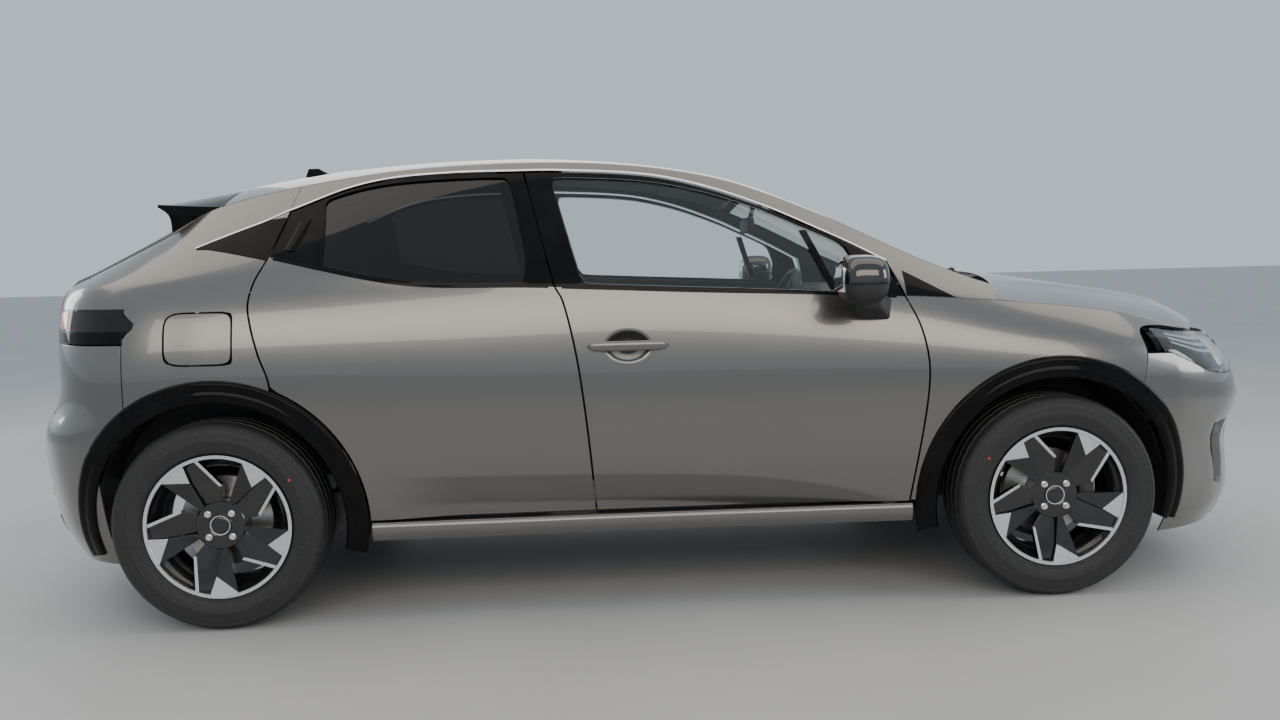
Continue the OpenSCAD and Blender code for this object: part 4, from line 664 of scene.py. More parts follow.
def rounded(a: float, b: float, power: float, fade: float) -> float:
    """Factor that draws the corners of a square opening in.

    Args:
        a: First coordinate, 1 at the opening's edge.
        b: Second coordinate.
        power: Squareness; 2 is round.
        fade: Where round the opening the effect ends, over 1.

    Returns:
        The factor for both coordinates.
    """
    m = max(abs(a), abs(b))
    if m < 1e-6:
        return 1.0
    pull = (abs(a / m) ** power + abs(b / m) ** power) ** (-1 / power)
    return mix(pull, 1.0, part(m, 1.0, fade))


def mirrored(half: list[float]) -> list[float]:
    """Values from 0 up, with their negatives before them."""
    return [-a for a in reversed(half)] + half[1:]


def handed(point: Vector, sign: float) -> Vector:
    """A point of the right side, or its mirror image where the sign is not positive."""
    return point if sign > 0 else Vector((point.x, -point.y, point.z))


@dataclass
class Door:
    """A side door with its skin, window frame, glass, inner trim and handle."""

    side: Side
    row: Row
    strip_u: float = 0.06
    belt_v: float = 0.6
    window_v: tuple[float, float] = (.613, .984)
    scallop: float = .034
    cup: tuple[float, float] = (-.128, .832)
    handle_x: tuple[float, float] = (-.252, -.004)
    handle_z: float = .834

    CREASE = Line([(-.80, .452), (-.345, .443), (-.04, .434), (.25, .415), (.50, .375), (.72, .316), (.80, .300)])

    def __post_init__(self) -> None:
        """Picks the shut lines, the hinge and the window for the row."""
        ahead = self.row is Row.FRONT
        share = FORM.front_hinge if ahead else .46
        self.window_u = (.135, .925) if ahead else (.118, .800)
        self.slant = (0.0, 0.0) if ahead else (.008, .078)
        self.name = f"{self.side.word}_{self.row.value}"
        self.pin_x = self.lead(share * FORM.height) - FORM.hinge_back

    def lead(self, z: float) -> float:
        """X of the front edge."""
        line = FORM.front_shut if self.row is Row.FRONT else FORM.middle_shut
        return line(z) - FORM.gap / 2

    def trail(self, z: float) -> float:
        """X of the rear edge."""
        if self.row is Row.FRONT:
            return FORM.middle_shut(z) + FORM.gap / 2
        return max(FORM.rear_shut(z) + FORM.gap / 2, FORM.x_rear + FORM.arch_reach(FORM.arch_out_r + FORM.gap, z))

    def x_at(self, u: float, z: float) -> float:
        """X of a column at a height."""
        strip_x = min(self.pin_x - FORM.hinge_back * .4, self.lead(z) - FORM.gap)
        if u <= self.strip_u + 1e-6:
            return mix(self.lead(z), strip_x, u / self.strip_u)
        return mix(strip_x, self.trail(z), (u - self.strip_u) / (1 - self.strip_u))

    def xz(self, u: float, v: float) -> tuple[float, float]:
        """Place of a grid point seen from the side."""
        x0 = self.x_at(u, .69 * FORM.height)
        x1 = self.x_at(u, FORM.window_top(x0))
        high = FORM.window_top(self.x_at(u, FORM.window_top(x1)))
        if v <= self.belt_v + 1e-6:
            z = mix(.2165 * FORM.height + FORM.gap / 2, FORM.belt(x0), v / self.belt_v)
        else:
            z = mix(FORM.belt(x0), high, (v - self.belt_v) / (1 - self.belt_v))
        return self.x_at(u, z), z

    def dents(self, x: float, z: float) -> float:
        """Inward depth of the lower scallop and the handle's cup."""
        along = ease(x, -.90, -.62) * (1 - ease(x, .62, .78))
        below = max(0.0, self.CREASE(x) - z)
        dent = along * min(self.scallop, .36 * below * ease(below, 0.0, .008))
        if self.row is Row.FRONT:
            d = math.hypot((x - self.cup[0]) / .075, (z - self.cup[1]) / .052)
            dent += .020 * (1 - ease(d, .38, 1.0))
        return dent

    def at(self, u: float, v: float, inward: float) -> Vector:
        """Point of the door's skin, or of its inner side."""
        x, z = self.xz(u, v)
        dent = self.dents(x, z) if inward < .02 else 0.0
        return FORM.side(x, z, inward + dent)

    def windowed(self, u: float, v: float, inward: float) -> Vector:
        """Point of the window frame, with the opening's corners rounded."""
        (u0, u1), (v0, v1) = self.window_u, self.window_v
        a, b = (2 * u - u0 - u1) / (u1 - u0), (2 * v - v0 - v1) / (v1 - v0)
        k = rounded(a, b, 26, 1.06)
        return self.slanted((u0 + u1) / 2 + a * k * (u1 - u0) / 2, (v0 + v1) / 2 + b * k * (v1 - v0) / 2, inward)

    def slanted(self, u: float, v: float, inward: float) -> Vector:
        """Point of the upper door, with the window's rear edge at its own slope."""
        shift = mix(*self.slant, part(v, *self.window_v))
        near = part(u, .4, self.window_u[1]) if u < self.window_u[1] else part(u, 1.0, self.window_u[1])
        return self.at(u + shift * near, v, inward)

    def put(self, bm: Mesh, name: str, finish: Finish, nodes: Sequence[str] = (), **more: float) -> None:
        """Puts a right-hand mesh on this door's side and adds it to the door's body."""
        made = flip(bm) if self.side is Side.LEFT else bm
        add(made, f"{self.name}_{name}", finish, f"{self.name}_door", nodes, **more)

    def build(self) -> None:
        """Makes all pieces of the door."""
        node = f"{self.name}_door"
        us = (fill([0, self.strip_u, self.strip_u * 1.08, .762], .018) + fill([.762, .93], .003)[1:]
              + fill([.93, 1], .018)[1:])
        vs = (fill([0, .19], .0048) + fill([.19, .39], .0125)[1:] + fill([.39, .515], .0028)[1:]
              + fill([.515, self.belt_v], .0125)[1:])
        deep = lambda u, v: FORM.skin_t if u <= self.strip_u + 1e-6 else FORM.door_t - .002
        self.put(shell(us, vs, self.at, deep), "door_skin", PAINT, [node], bevel=.0022)
        (u0, u1), (v0, v1) = self.window_u, self.window_v
        us, vs = fill([0, u0, u1, 1], .02), fill([self.belt_v + .002, v0, v1, 1], .03)
        hole = lambda u, v: not (u0 < u < u1 and v0 < v < v1)
        self.put(shell(us, vs, self.windowed, FORM.frame_t, hole), "window_frame", GLOSS, [node], bevel=.0015)
        us, vs = fill([u0 - .004, u1 + .004], .03), fill([v0 - .004, v1 + .006], .04)
        pane = lambda u, v, d: self.slanted(u, v, d + .008)
        ahead = self.row is Row.FRONT
        self.put(shell(us, vs, pane, FORM.glass_t), "window", CLEAR if ahead else TINTED, [f"{self.name}_glass"])
        self.lining()
        if ahead:
            bar = lambda u, v, d: FORM.side(mix(.519, .442, v) + mix(.012, -.012, u), mix(.985, 1.172, v), d)
            self.put(shell([0, .5, 1], unit(12), bar, .016, start=.003), "window_bar", GLOSS, bevel=.002)
            self.handle()
        else:
            self.hidden_handle()

    def lining(self) -> None:
        """Adds the inner trim with its armrest and the seal at the belt."""
        base = FORM.door_t - .003

        def inner(u: float, v: float, d: float) -> Vector:
            """Point of the inner trim with its armrest."""
            swell = .030 * (1 - ease(abs(v - .42), .03, .07)) * (1 - ease(abs(u - .55), .26, .36))
            return self.at(u, v, d + swell)

        us, vs = fill([.12, .93], .03), fill([.05, self.belt_v], .02)
        self.put(shell(us, vs, inner, base + .006, start=base), "door_lining", PLASTIC, bevel=.002)
        us, vs = fill([.03, .985], .03), [self.belt_v - .004, self.belt_v + .004]
        self.put(shell(us, vs, self.at, .006, start=-.0015), "belt_seal", GLOSS, bevel=.001)

    def handle(self) -> None:
        """Adds the strap handle over its cup."""
        (x0, x1), z = self.handle_x, self.handle_z
        centre = FORM.side((x0 + x1) / 2, z)

        def grip(u: float, v: float) -> Vector:
            """Point of the strap."""
            a = math.radians(v)
            thin = math.sqrt(max(0.0, 1 - abs(2 * u - 1) ** 6))
            x = mix(x0, x1, u)
            off = .017 - .006 * (2 * u - 1) ** 2
            return Vector((x, centre.y - off - .008 * thin * math.cos(a), z + .0155 * thin * math.sin(a)))

        strap = cleaned(grid(unit(28), steps(0, 360, 20), grip), dist=1e-5)
        self.put(strap, "handle", PAINT, sharp=60)

        def pocket(r: float, degrees: float, d: float) -> Vector:
            """Point of the dark upper half of the cup."""
            a = math.radians(degrees)
            x, up = self.cup[0] + .066 * r * math.cos(a), self.cup[1] + .046 * r * math.sin(a)
            return FORM.side(x, up, self.dents(x, up) + d)

        dark = shell(steps(.02, 1, 10), steps(-8, 188, 28), pocket, .0006, start=-.0008)
        self.put(dark, "handle_pocket", PLASTIC)
        feet = [box((x - .016, centre.y - .016, z - .010), (x + .016, centre.y + .004, z + .010), .004)
                for x in (x0 + .026, x1 - .026)]
        self.put(join(feet), "handle_feet", GLOSS)

    def hidden_handle(self) -> None:
        """Adds the upright pull in the rear edge of the window frame."""
        def pull(u: float, v: float, d: float) -> Vector:
            """Point of the pull's rounded face."""
            bulge = math.sqrt(max(0.0, 1 - (2 * u - 1) ** 2)) * .005
            return self.at(mix(.915, .962, u) - .012 * v, mix(.67, .88, v), d - bulge)

        self.put(shell(unit(8), unit(12), pull, .004), "pull", GLOSS, bevel=.001)


def lamp_wedge(z: float) -> float:
    """Distance that a tail lamp's front edge lies behind its tip at a height."""
    return min(.040, 1.15 * abs(z - .642 * FORM.height))


@dataclass
class BodySides:
    """Cant rails, pillars, sills, rear quarters and the trims on them."""

    rail_t: float = 0.066
    pillar_t: float = 0.0884
    sill_z: tuple[float, float] = (.17, .275)
    flap_z: tuple[float, float] = (.557, .667)
    columns: tuple[float, ...] = (.055, .04, .0289, -.1925, FORM.lamp_tip, FORM.bumper_edge, -.46, -.6, -.738)

    WING_FRONT = ((0, 1.315, .45), (.4, 1.34, .527), (.7, 1.342, .576), (.85, 1.43, .581), (1, 1.60, .567))

    def build(self) -> None:
        """Makes rails, pillars, quarters, wings and trims."""
        self.rails()
        self.quarters()
        self.wings()
        self.trims()
        self.flap()

    def rails(self) -> None:
        """Makes the cant rails and the posts and sills inside the doors."""
        split = FORM.front_shut(.66 * FORM.height) + FORM.gap / 2
        tip = split - .016 * FORM.wheelbase
        rear = FORM.station(.096)

        def low(x: float) -> float:
            """Lower edge of the rail at x."""
            if x >= split - 1e-6:
                return FORM.shoulder_z(x) + .0004
            if x > tip:
                return mix(FORM.shoulder_z(split), FORM.window_top(tip) + FORM.gap, (split - x) / (split - tip))
            return FORM.window_top(x) + FORM.gap

        def rail(x: float, v: float, d: float) -> Vector:
            """Point of the cant rail."""
            if x < rear + 1e-6:
                for _ in range(3):
                    x = self.front_edge(mix(low(x), FORM.rail_z(x), v)) + .0004
            return FORM.side(x, mix(low(x), FORM.rail_z(x) - .0004, v), d)

        us = fill([FORM.station(.935), split, tip, rear], .022)
        deep = lambda x, v: self.rail_t if v < .01 and x < split - 1e-3 else FORM.rail_lap
        pair(us, [0, .15, .3, .5, .7, .85, 1], rail, deep, "cant_rails", PAINT, nodes=["side_frames"], bevel=.002)

        def corner(u: float, v: float, d: float) -> Vector:
            """Point of the dark corner ahead of the door's window."""
            x = mix(split + .002, FORM.station(.883), u)
            high = max(FORM.window_top(x), FORM.shoulder_z(x) + .0025)
            return FORM.side(x, mix(FORM.shoulder_z(x) + .002, high, v), -d)

        pair(unit(16), unit(6), corner, .0005, "corner_trims", GLOSS, start=.002, bevel=.0006)
        pillar_in, low_z = FORM.door_t + FORM.post_gap, self.sill_z[1] * FORM.height

        def post_in(z: float, inward: float) -> float:
            """Inward depth of a post's face at a height."""
            step = pillar_in - FORM.frame_t - 2 * FORM.gap
            return inward - step * min(1.0, 5 * part(z, .715 * FORM.height, FORM.height))

        def centre(u: float, v: float, d: float) -> Vector:
            """Point of the centre pillar."""
            x1 = mix(1, -1.6, u) * .022 * FORM.wheelbase
            high = FORM.window_top(FORM.middle_shut(FORM.height) + x1) + FORM.gap
            z = mix(low_z, high, v)
            return FORM.side(FORM.middle_shut(z) + x1, z, post_in(z, d))

        pair(unit(4), unit(30), centre, pillar_in + self.pillar_t, "centre_pillars", PLASTIC,
             start=pillar_in, nodes=["side_frames"], bevel=.006)
        pin_x = FORM.front_shut(FORM.front_hinge * FORM.height) - FORM.gap / 2 - FORM.hinge_back

        def hinge_post(u: float, v: float, d: float) -> Vector:
            """Point of the front hinge post."""
            z = mix(low_z, .645 * FORM.height, v)
            return FORM.side(pin_x + mix(1.2, -.25, u) * .022 * FORM.wheelbase, z, d)

        sill = lambda x, v, d: FORM.side(x, mix(*self.sill_z, v) * FORM.height, d)
        sill_xs = fill([pin_x + .0684, FORM.x_rear + FORM.arch_out_r], .06)

        def frames() -> Mesh:
            """Hinge post and sill of the right side."""
            post = shell(unit(4), unit(16), hinge_post, pillar_in + self.pillar_t, start=pillar_in)
            foot = shell(sill_xs, unit(3), sill, pillar_in + self.pillar_t * 1.4, start=pillar_in + .016)
            return join([post, foot])

        add(both(frames), "hinge_posts_and_sills", PAINT, nodes=["side_frames"], bevel=.005)

    def front_edge(self, z: float) -> float:
        """X of the quarter's front edge."""
        return FORM.rear_shut(max(z, .508 * FORM.height)) - FORM.gap / 2

    def row_z(self, v: float, x: float) -> float:
        """Height of a row of the quarter at x."""
        h = FORM.height
        rows = [FORM.arch_top(x, FORM.x_rear, FORM.arch_cut_r),
                max(self.flap_z[0] * h, FORM.arch_top(x, FORM.x_rear, FORM.arch_out_r)),
                FORM.lamp_low * h, self.flap_z[1] * h, FORM.lamp_high * h, 0, 0, FORM.rail_z(x) - .0004]
        rows[5], rows[6] = mix(rows[4], rows[7], 1 / 3), mix(rows[4], rows[7], 2 / 3)
        i = min(int(v + 1e-6), 6)
        return mix(rows[i], rows[i + 1], v - i)

    def quarter_at(self, u: float, v: float, inward: float) -> Vector:
        """Point of the rear quarter by column and row."""
        c = [FORM.station(s) for s in self.columns]
        i = min(int(u + 1e-6), len(c) - 2)
        x = mix(c[i], c[i + 1], u - i)
        if u < 2 - 1e-6:
            for _ in range(2):
                x = mix(self.front_edge(self.row_z(v, x)), c[2], u / 2)
        if 3 < u < 5:
            x -= lamp_wedge(self.row_z(v, x)) * (1 - abs(u - 4)) * ease(v, 1.2, 2) * (1 - ease(v, 4, 5))
        drop = .011 * ease(v, 6, 7) * ease(-x, 1.46, 1.58)
        return FORM.side(x, self.row_z(v, x) - drop, inward)

    def softened(self, u: float, v: float, inward: float) -> Vector:
        """Point of the right quarter, with the filler opening's corners rounded."""
        a, b = (u - 2.5) / .5, v - 2
        k = rounded(a, b, 12 if a < 0 else 5, 1.7)
        return self.quarter_at(2.5 + a * k * .5, 2 + b * k, inward)

    def quarters(self) -> None:
        """Makes the rear quarters, the right one open for the filler."""
        us, vs = fill(list(range(9)), 1 / 7), fill(list(range(8)), 1 / 6)

        def kept(flap: bool) -> Keep:
            """Rule for the cells that stay, with or without the filler's opening."""
            def keep(u: float, v: float) -> bool:
                """Whether a cell lies outside the openings."""
                hole = flap and 2 < u < 3 and 1 < v < 3
                lamp = u > 4 and 2 < v < 4
                return not hole and not lamp and not (u > 5 and v < 4)
            return keep

        right = shell(us, vs, self.softened, FORM.skin_t, kept(True))
        left = flip(shell(us, vs, self.quarter_at, FORM.skin_t, kept(False)))
        add(join([right, left]), "rear_quarters", PAINT, nodes=["quarter_panels"], bevel=.0018)

    def wing_xz(self, u: float, v: float) -> tuple[float, float]:
        """Place on the wing seen from the side: u to the front, v up."""
        h = FORM.height
        front_x = Line([(q, FORM.station(s)) for q, s, _ in self.WING_FRONT])
        front_z = Line([(q, z * h) for q, _, z in self.WING_FRONT])

        def low(q: float) -> tuple[float, float]:
            """Place on the edge over the wheel."""
            x = mix(FORM.front_shut(FORM.tyre_r) + FORM.gap / 2, FORM.station(1.315), q)
            return x, FORM.arch_top(x, FORM.x_front, FORM.arch_cut_r)

        def high(q: float) -> tuple[float, float]:
            """Place on the upper edge."""
            z0 = FORM.shoulder_z(FORM.front_shut(.69 * h))
            x = mix(FORM.front_shut(z0) + FORM.gap / 2, front_x(1), q)
            return x, FORM.shoulder_z(x)

        def rear(q: float) -> tuple[float, float]:
            """Place on the edge at the door."""
            z = mix(FORM.tyre_r, high(0)[1], q)
            return FORM.front_shut(z) + FORM.gap / 2, z

        ahead = low(1) if v < 1e-6 else high(1) if v > 1 - 1e-6 else (front_x(v), front_z(v))
        parts = zip(low(u), high(u), rear(v), ahead, low(0), low(1), high(0), high(1))
        x, z = (mix(a, b, v) + mix(c, d, u) - mix(mix(e, f, u), mix(g, i, u), v)
                for a, b, c, d, e, f, g, i in parts)
        return x, z

    def wings(self) -> None:
        """Makes the front wings."""
        def wing(u: float, v: float, d: float) -> Vector:
            """Point of the wing."""
            return FORM.side(*self.wing_xz(u, v), d)

        us = steps(0, .06, 14) + steps(.06, 1, 54)[1:]
        pair(us, unit(40), wing, FORM.skin_t, "front_wings", PAINT, nodes=["wings"], bevel=.0018)

    def trims(self) -> None:
        """Makes the gloss-black arch and quarter trims and the sill strips."""
        def arch(axle_x: float) -> Place:
            """Surface of the trim round one axle."""
            def at(t: float, q: float, out: float) -> Vector:
                """Point of the trim."""
                r = mix(FORM.arch_in_r, FORM.arch_out_r, q)
                dip = 1 - .35 * ease(q, .42, .50) * (1 - ease(q, .50, .86))
                hump = (1 - abs(2 * q - 1) ** 5) ** .5 * dip
                a = math.radians(t)
                x, z = axle_x + r * math.cos(a), FORM.tyre_r + r * math.sin(a)
                return FORM.side(x, z, -out * hump - .001)
            return at

        def arches() -> Mesh:
            """Both arch trims of the right side, each in two lengths."""
            made = []
            for axle_x, breaks in ((FORM.x_front, (-14, 50, 194)), (FORM.x_rear, (-14, 126, 194))):
                for a, b in zip(breaks, breaks[1:]):
                    ts = fill([a + .12, b - .12], 2.2)
                    made.append(shell(ts, unit(14), arch(axle_x), 0.0, start=FORM.arch_proud - .001))
            return join(made)

        add(both(arches), "arch_trims_gloss", GLOSS, nodes=["arch_trims"], sharp=50)

        def strip(x: float, v: float, d: float) -> Vector:
            """Point of the sill strip."""
            bulge = .005 * math.sin(math.pi * min(1.0, v * 1.15)) - .004 * ease(v, .80, .92)
            return FORM.side(x, mix(.172, .212, v) * FORM.height, d - (bulge if d < .001 else 0))

        xs = fill([FORM.x_front - FORM.arch_out_r - FORM.gap, FORM.x_rear + FORM.arch_out_r + FORM.gap], .05)
        pair(xs, unit(10), strip, FORM.door_t + FORM.post_gap, "sill_strips", PAINT, nodes=["sill_trims"],
             bevel=.002)

        def quarter(u: float, v: float, d: float) -> Vector:
            """Point of the dark trim behind the rear door."""
            x0 = mix(FORM.rear_shut(FORM.belt(FORM.x_rear)) - FORM.gap * .62, FORM.station(-.095), u)
            z = mix(FORM.belt(x0), FORM.window_top(x0), v)
            x = FORM.rear_shut(z) - FORM.gap * .62 if u < 1e-6 else x0
            return FORM.side(x, z, -d)

        pair(unit(14), unit(6), quarter, .0008, "quarter_trims_gloss", GLOSS, start=.003,
             nodes=["quarter_trims"], bevel=.001)

        def bright(u: float, v: float, d: float) -> Vector:
            """Point of the bright strip over the windows: a painted highlight standing for the light along the rail's
            lower edge.
            """
            x = mix(.70, FORM.station(-.10), u)
            lift = FORM.gap * ease(x, FORM.station(.05), FORM.station(.08))
            return FORM.side(x, FORM.window_top(x) + lift + mix(.0005, .006, v), -d)

        # Chrome strip along the window tops: a painted highlight for the light caught by the rail's lower edge, not a
        # trim of its own.
        pair(unit(120), [0, .5, 1], bright, -.002, "window_top_highlight_strips", CHROME, start=.0022, sharp=60)

    def flap(self) -> None:
        """Makes the filler flap with rounded corners."""
        gap = .005
        x0, x1 = FORM.station(self.columns[2]) - gap, FORM.station(self.columns[3]) + gap
        z0, z1 = self.flap_z[0] * FORM.height + gap, self.flap_z[1] * FORM.height - gap

        def at(a: float, b: float, d: float) -> Vector:
            """Point of the flap, with its corners drawn in."""
            k = rounded(a, b, 7.5 if a < 0 else 5, 1.7)
            return FORM.side(mix(x0, x1, (a * k + 1) / 2), mix(z0, z1, (b * k + 1) / 2), d)

        add(shell(steps(-1, 1, 20), steps(-1, 1, 18), at, .003), "filler_flap_skin", PAINT, "fuel_flap", ["fuel_flap"],
            bevel=.001)


@dataclass
class Glasshouse:
    """Roof, windscreen, scuttle and what stands on them."""

    roof_front: float = .668
    base: float = .945
    corner: float = .885

    def edge(self, x: float) -> float:
        """Half width of the roof panel and the windscreen."""
        return FORM.side_half(x, FORM.rail_z(x)) - FORM.rail_lap - .0004

    def base_x(self, w: float) -> float:
        """X of the windscreen's foot, w across."""
        return mix(FORM.station(self.base), FORM.station(self.corner), w * w)

    def build(self) -> None:
        """Makes roof, windscreen, scuttle, wipers, fin and headlining."""
        thin_x = FORM.station(.04)
        xs = fill([FORM.station(self.roof_front), thin_x, FORM.station(FORM.roof_end)], .04)
        ws = fill([-1, -.875, -.865, .865, .875, 1], .055)
        thin = lambda x, w: FORM.skin_t if x < thin_x + .001 or abs(w) > .866 else FORM.roof_t
        roof = lambda x, w, d: FORM.top(x, -w * self.edge(x), d)
        add(shell(xs, ws, roof, thin), "roof_panel", PAINT, nodes=["roof"], bevel=.0015)
        xs, ws = fill([FORM.station(self.roof_front) - .02, FORM.station(.05)], .06), fill([-.84, .84], .08)
        lining = shell(xs, ws, roof, FORM.roof_t + .008, start=FORM.roof_t + .002)
        add(lining, "headlining", HEADLINER, bevel=.002)
        self.screen()
        self.scuttle()
        self.fin()

    def screen_at(self, u: float, w: float, down: float) -> Vector:
        """Point of the windscreen: u up it, w across."""
        x = mix(self.base_x(w), FORM.station(self.roof_front) + .0004, u)
        return FORM.top(x, -w * self.edge(x), down)

    def screen(self) -> None:
        """Makes the windscreen and its dark printed border."""
        add(shell(unit(30), steps(-1, 1, 40), self.screen_at, .0065), "windscreen_glass", CLEAR,
            nodes=["windscreen"])
        low, high, out = .07, .94, .94
        us, ws = fill([.0, low, high, 1], .04), fill([-1, -out, out, 1], .05)
        border = lambda u, w: not (low < u < high and abs(w) < out)
        add(shell(us, ws, self.screen_at, .0085, border, start=.007), "windscreen_border", GLOSS)
        head = FORM.top(.42, 0)
        add(box((.36, -.11, head.z - .135), (.385, .11, head.z - .075), .012), "inside_mirror", PLASTIC)
        arm = [Vector((x, 0, head.z - drop)) for x, drop in ((.40, .02), (.385, .08), (.378, .10))]
        add(tube(arm, .009), "inside_mirror_arm", PLASTIC)

    def scuttle(self) -> None:
        """Makes the scuttle panel and the wipers."""
        def cowl(u: float, w: float, d: float) -> Vector:
            """Point of the scuttle: u forwards, w across."""
            x1, x2 = self.base_x(w) + FORM.gap / 2, FORM.bonnet_rear(w) - FORM.gap
            x = mix(x1, x2, u)
            rib = .002 * math.sin(u * 40)
            return FORM.bonnet_top(x, -w * (FORM.side_half(x, FORM.rail_z(x)) - 2 * FORM.rail_lap),
                                   d + (u * FORM.lid_t * 2 + rib) * (1 - ease(abs(w), .72, .80)))

        add(shell(unit(16), steps(-.64, .64, 32), cowl, FORM.skin_t), "scuttle_panel", PLASTIC,
            nodes=["cowl"])
        pair(unit(12), steps(.641, 1, 14), cowl, FORM.skin_t, "scuttle_ends", PAINT, nodes=["cowl"])
        up, blades = .020, []
        for a, b in ((-.30, -.02), (.02, .28)):
            for lift, wide in ((.0005, 1.0), (.007, .55)):
                def blade(q: float, v: float, d: float, lift: float = lift, wide: float = wide) -> Vector:
                    """Point of one layer of a wiper blade."""
                    y = mix(a, b, q) * FORM.width
                    w = y / FORM.side_half(FORM.station(self.corner), .69 * FORM.height)
                    return FORM.top(self.base_x(w) - (.35 + (v - .5) * wide + .3 * q) * up, y, -lift - d)
                blades.append(shell(unit(24), [0, .3, .7, 1], blade, .0, start=.006))
        add(join(blades), "wiper_blades", PLASTIC, nodes=["wipers"], bevel=.001)

    def fin(self) -> None:
        """Makes the roof fin as a tapered blade."""
        low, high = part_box("roof_fin")
        length = high.x - low.x

        def side(u: float, v: float) -> Vector:
            """Point of the fin."""
            a = math.radians(v)
            lean, slim = u * .42, 1 - .72 * u
            x = mix(low.x, high.x, .5 + .5 * math.cos(a) * (1 - lean)) - lean * length * .12
            y = .5 * (high.y - low.y) * slim * math.sin(a) * (1 - .5 * max(0.0, math.cos(a)))
            base = FORM.top(x, y).z - .002
            return Vector((x, y, mix(base, high.z, u * (1 - .5 * max(0.0, math.cos(a)) * u))))

        blade = cleaned(grid(unit(8), steps(0, 360, 36), side), 40)
        add(blade, "roof_fin_gloss", GLOSS, nodes=["roof_fin"], sharp=50)


@dataclass
class FrontEnd:
    """Bonnet, front bumper, grille and headlamps."""

    low: float = .118
    lamp_angles: tuple[float, float] = (36.6, 72.5)
    grille_angle: float = 35.0
    grille_v: tuple[float, float] = (.21, .58)
    slit_angle: float = 49.5
    edge_angle: float = 71.0

    BUMPER_TOP = ((0, .549), (20, .551), (35, .553), (36, .474), (45, .467), (51, .469), (59, .480), (66, .507),
                  (71, .527), (90, .527))
    LAMP_TOP = ((34, .553), (45, .557), (52, .560), (58, .562), (64, .568), (70, .575), (76, .578))

    def __post_init__(self) -> None:
        """Sets the line between bumper and wing."""
        self.split = FORM.up([(.40, 1.312), (.45, 1.315), (.527, 1.34), (.576, 1.342)])

    def build(self) -> None:
        """Makes the pieces of the front end."""
        self.bonnet()
        self.bumper()
        self.lamps()

    def bonnet_at(self, u: float, w: float, down: float) -> Vector:
        """Point of the bonnet: u forwards, w across."""
        x1 = FORM.bonnet_rear(w)
        x2 = mix(FORM.station(1.885), FORM.station(1.645), abs(w) ** 3)
        x = mix(x1, x2, u)
        y = -w * (FORM.side_half(x, FORM.shoulder_z(x)) - FORM.gap * (1 + 1.3 * max(0.0, 1 - u / .15)))
        crease = .007 * (1 - ease(abs(abs(w) - .62), 0.0, .10)) * ease(u, .02, .3) * (1 - ease(u, .75, 1))
        return FORM.bonnet_top(x, y, down - crease)

    def bonnet(self) -> None:
        """Makes the bonnet with its two creases."""
        us, ws = fill([0, .15, .78, .79, 1], .03), fill([-1, -.9, -.89, .89, .9, 1], .04)
        thin = lambda u, w: FORM.skin_t if u < .149 or u > .781 or abs(w) > .891 else FORM.lid_t
        add(shell(us, ws, self.bonnet_at, thin), "bonnet_skin", PAINT, "bonnet", ["bonnet"], bevel=.0018)

    @staticmethod
    def lookup(a: float, table: Shares) -> float:
        """Straight-line value from a table."""
        for (a0, v0), (a1, v1) in zip(table, table[1:]):
            if a <= a1:
                return mix(v0, v1, part(a, a0, a1))
        return table[-1][1]

    def nose_top(self, a: float) -> float:
        """Height of the bumper's upper edge at an angle."""
        return self.lookup(abs(a), self.BUMPER_TOP) * FORM.height - FORM.gap / 2

    @staticmethod
    def slit_half(z: float) -> float:
        """Half width of an air slit at a height, in degrees."""
        return mix(1.2, 3.6, part(z, .30, .50))

    def bumper_at(self, a: float, v: float, inward: float) -> Vector:
        """Point of the front bumper by angle and share of its height."""
        z = mix(self.low * FORM.height, self.nose_top(a), v)
        wide = self.slit_half(z)
        slit = (.034 * (1 - ease(abs(abs(a) - self.slit_angle), wide, wide + 1.2)) * ease(z, .30, .33)
                * (1 - ease(z, .50, .52)))
        if abs(a) > self.edge_angle:
            x = max(self.split(z) + FORM.gap / 2, FORM.x_front + FORM.arch_reach(FORM.arch_cut_r, z))
            return handed(FORM.side(x, z, inward), a)
        return FORM.nose(a, z, inward + slit)

    def bumper(self) -> None:
        """Makes the bumper skin, the grille mesh and the dark slit linings."""
        half = fill([0, self.grille_angle, 36, 43.6, 55.4, 70.5, 72], 1.5)
        half = half[:half.index(43.6)] + fill([43.6, 55.4], .6) + half[half.index(55.4) + 1:]
        low, high = self.grille_v
        vs = fill([0, low, high, 1], .025)
        hole = lambda a, v: not (abs(a) < self.grille_angle and low < v < high)
        add(shell(mirrored(half), vs, self.bumper_at, FORM.skin_t, hole), "front_bumper_skin", PAINT,
            nodes=["front_bumper"], bevel=.0018)
        self.grille()

        def slit(a: float, v: float, d: float) -> Vector:
            """Point of an air slit's dark lining."""
            z = mix(.315, .508, v)
            return FORM.nose(self.slit_angle + a * (self.slit_half(z) + .5), z, d)

        pair(steps(-1, 1, 6), unit(12), slit, .036, "air_slits", PLASTIC, start=.022)

        def lip(a: float, v: float, d: float) -> Vector:
            """Point of the lower lip."""
            return FORM.nose(a, mix(self.low + .001, self.low + .030, v) * FORM.height, d)

        add(shell(steps(-38, 38, 56), unit(4), lip, .0005, start=-.0025), "front_lip", PLASTIC, sharp=60)

    def grille(self) -> None:
        """Makes the grille's back and the mesh before it."""
        depth, mesh_a, rows = .020 * FORM.width, 36.5, 34

        def panel(a: float, v: float, d: float) -> Vector:
            """Point of a sheet behind the bumper's opening."""
            return FORM.nose(a, mix(.205, .36, v) * FORM.height, d)

        def lattice(a: float, v: float) -> bool:
            """Whether a cell belongs to the mesh."""
            column, row = round((a + mesh_a) * 2 - .5), round(v * rows - .5)
            return (column + 2 * row) % 6 < 2 or row % 4 == 0

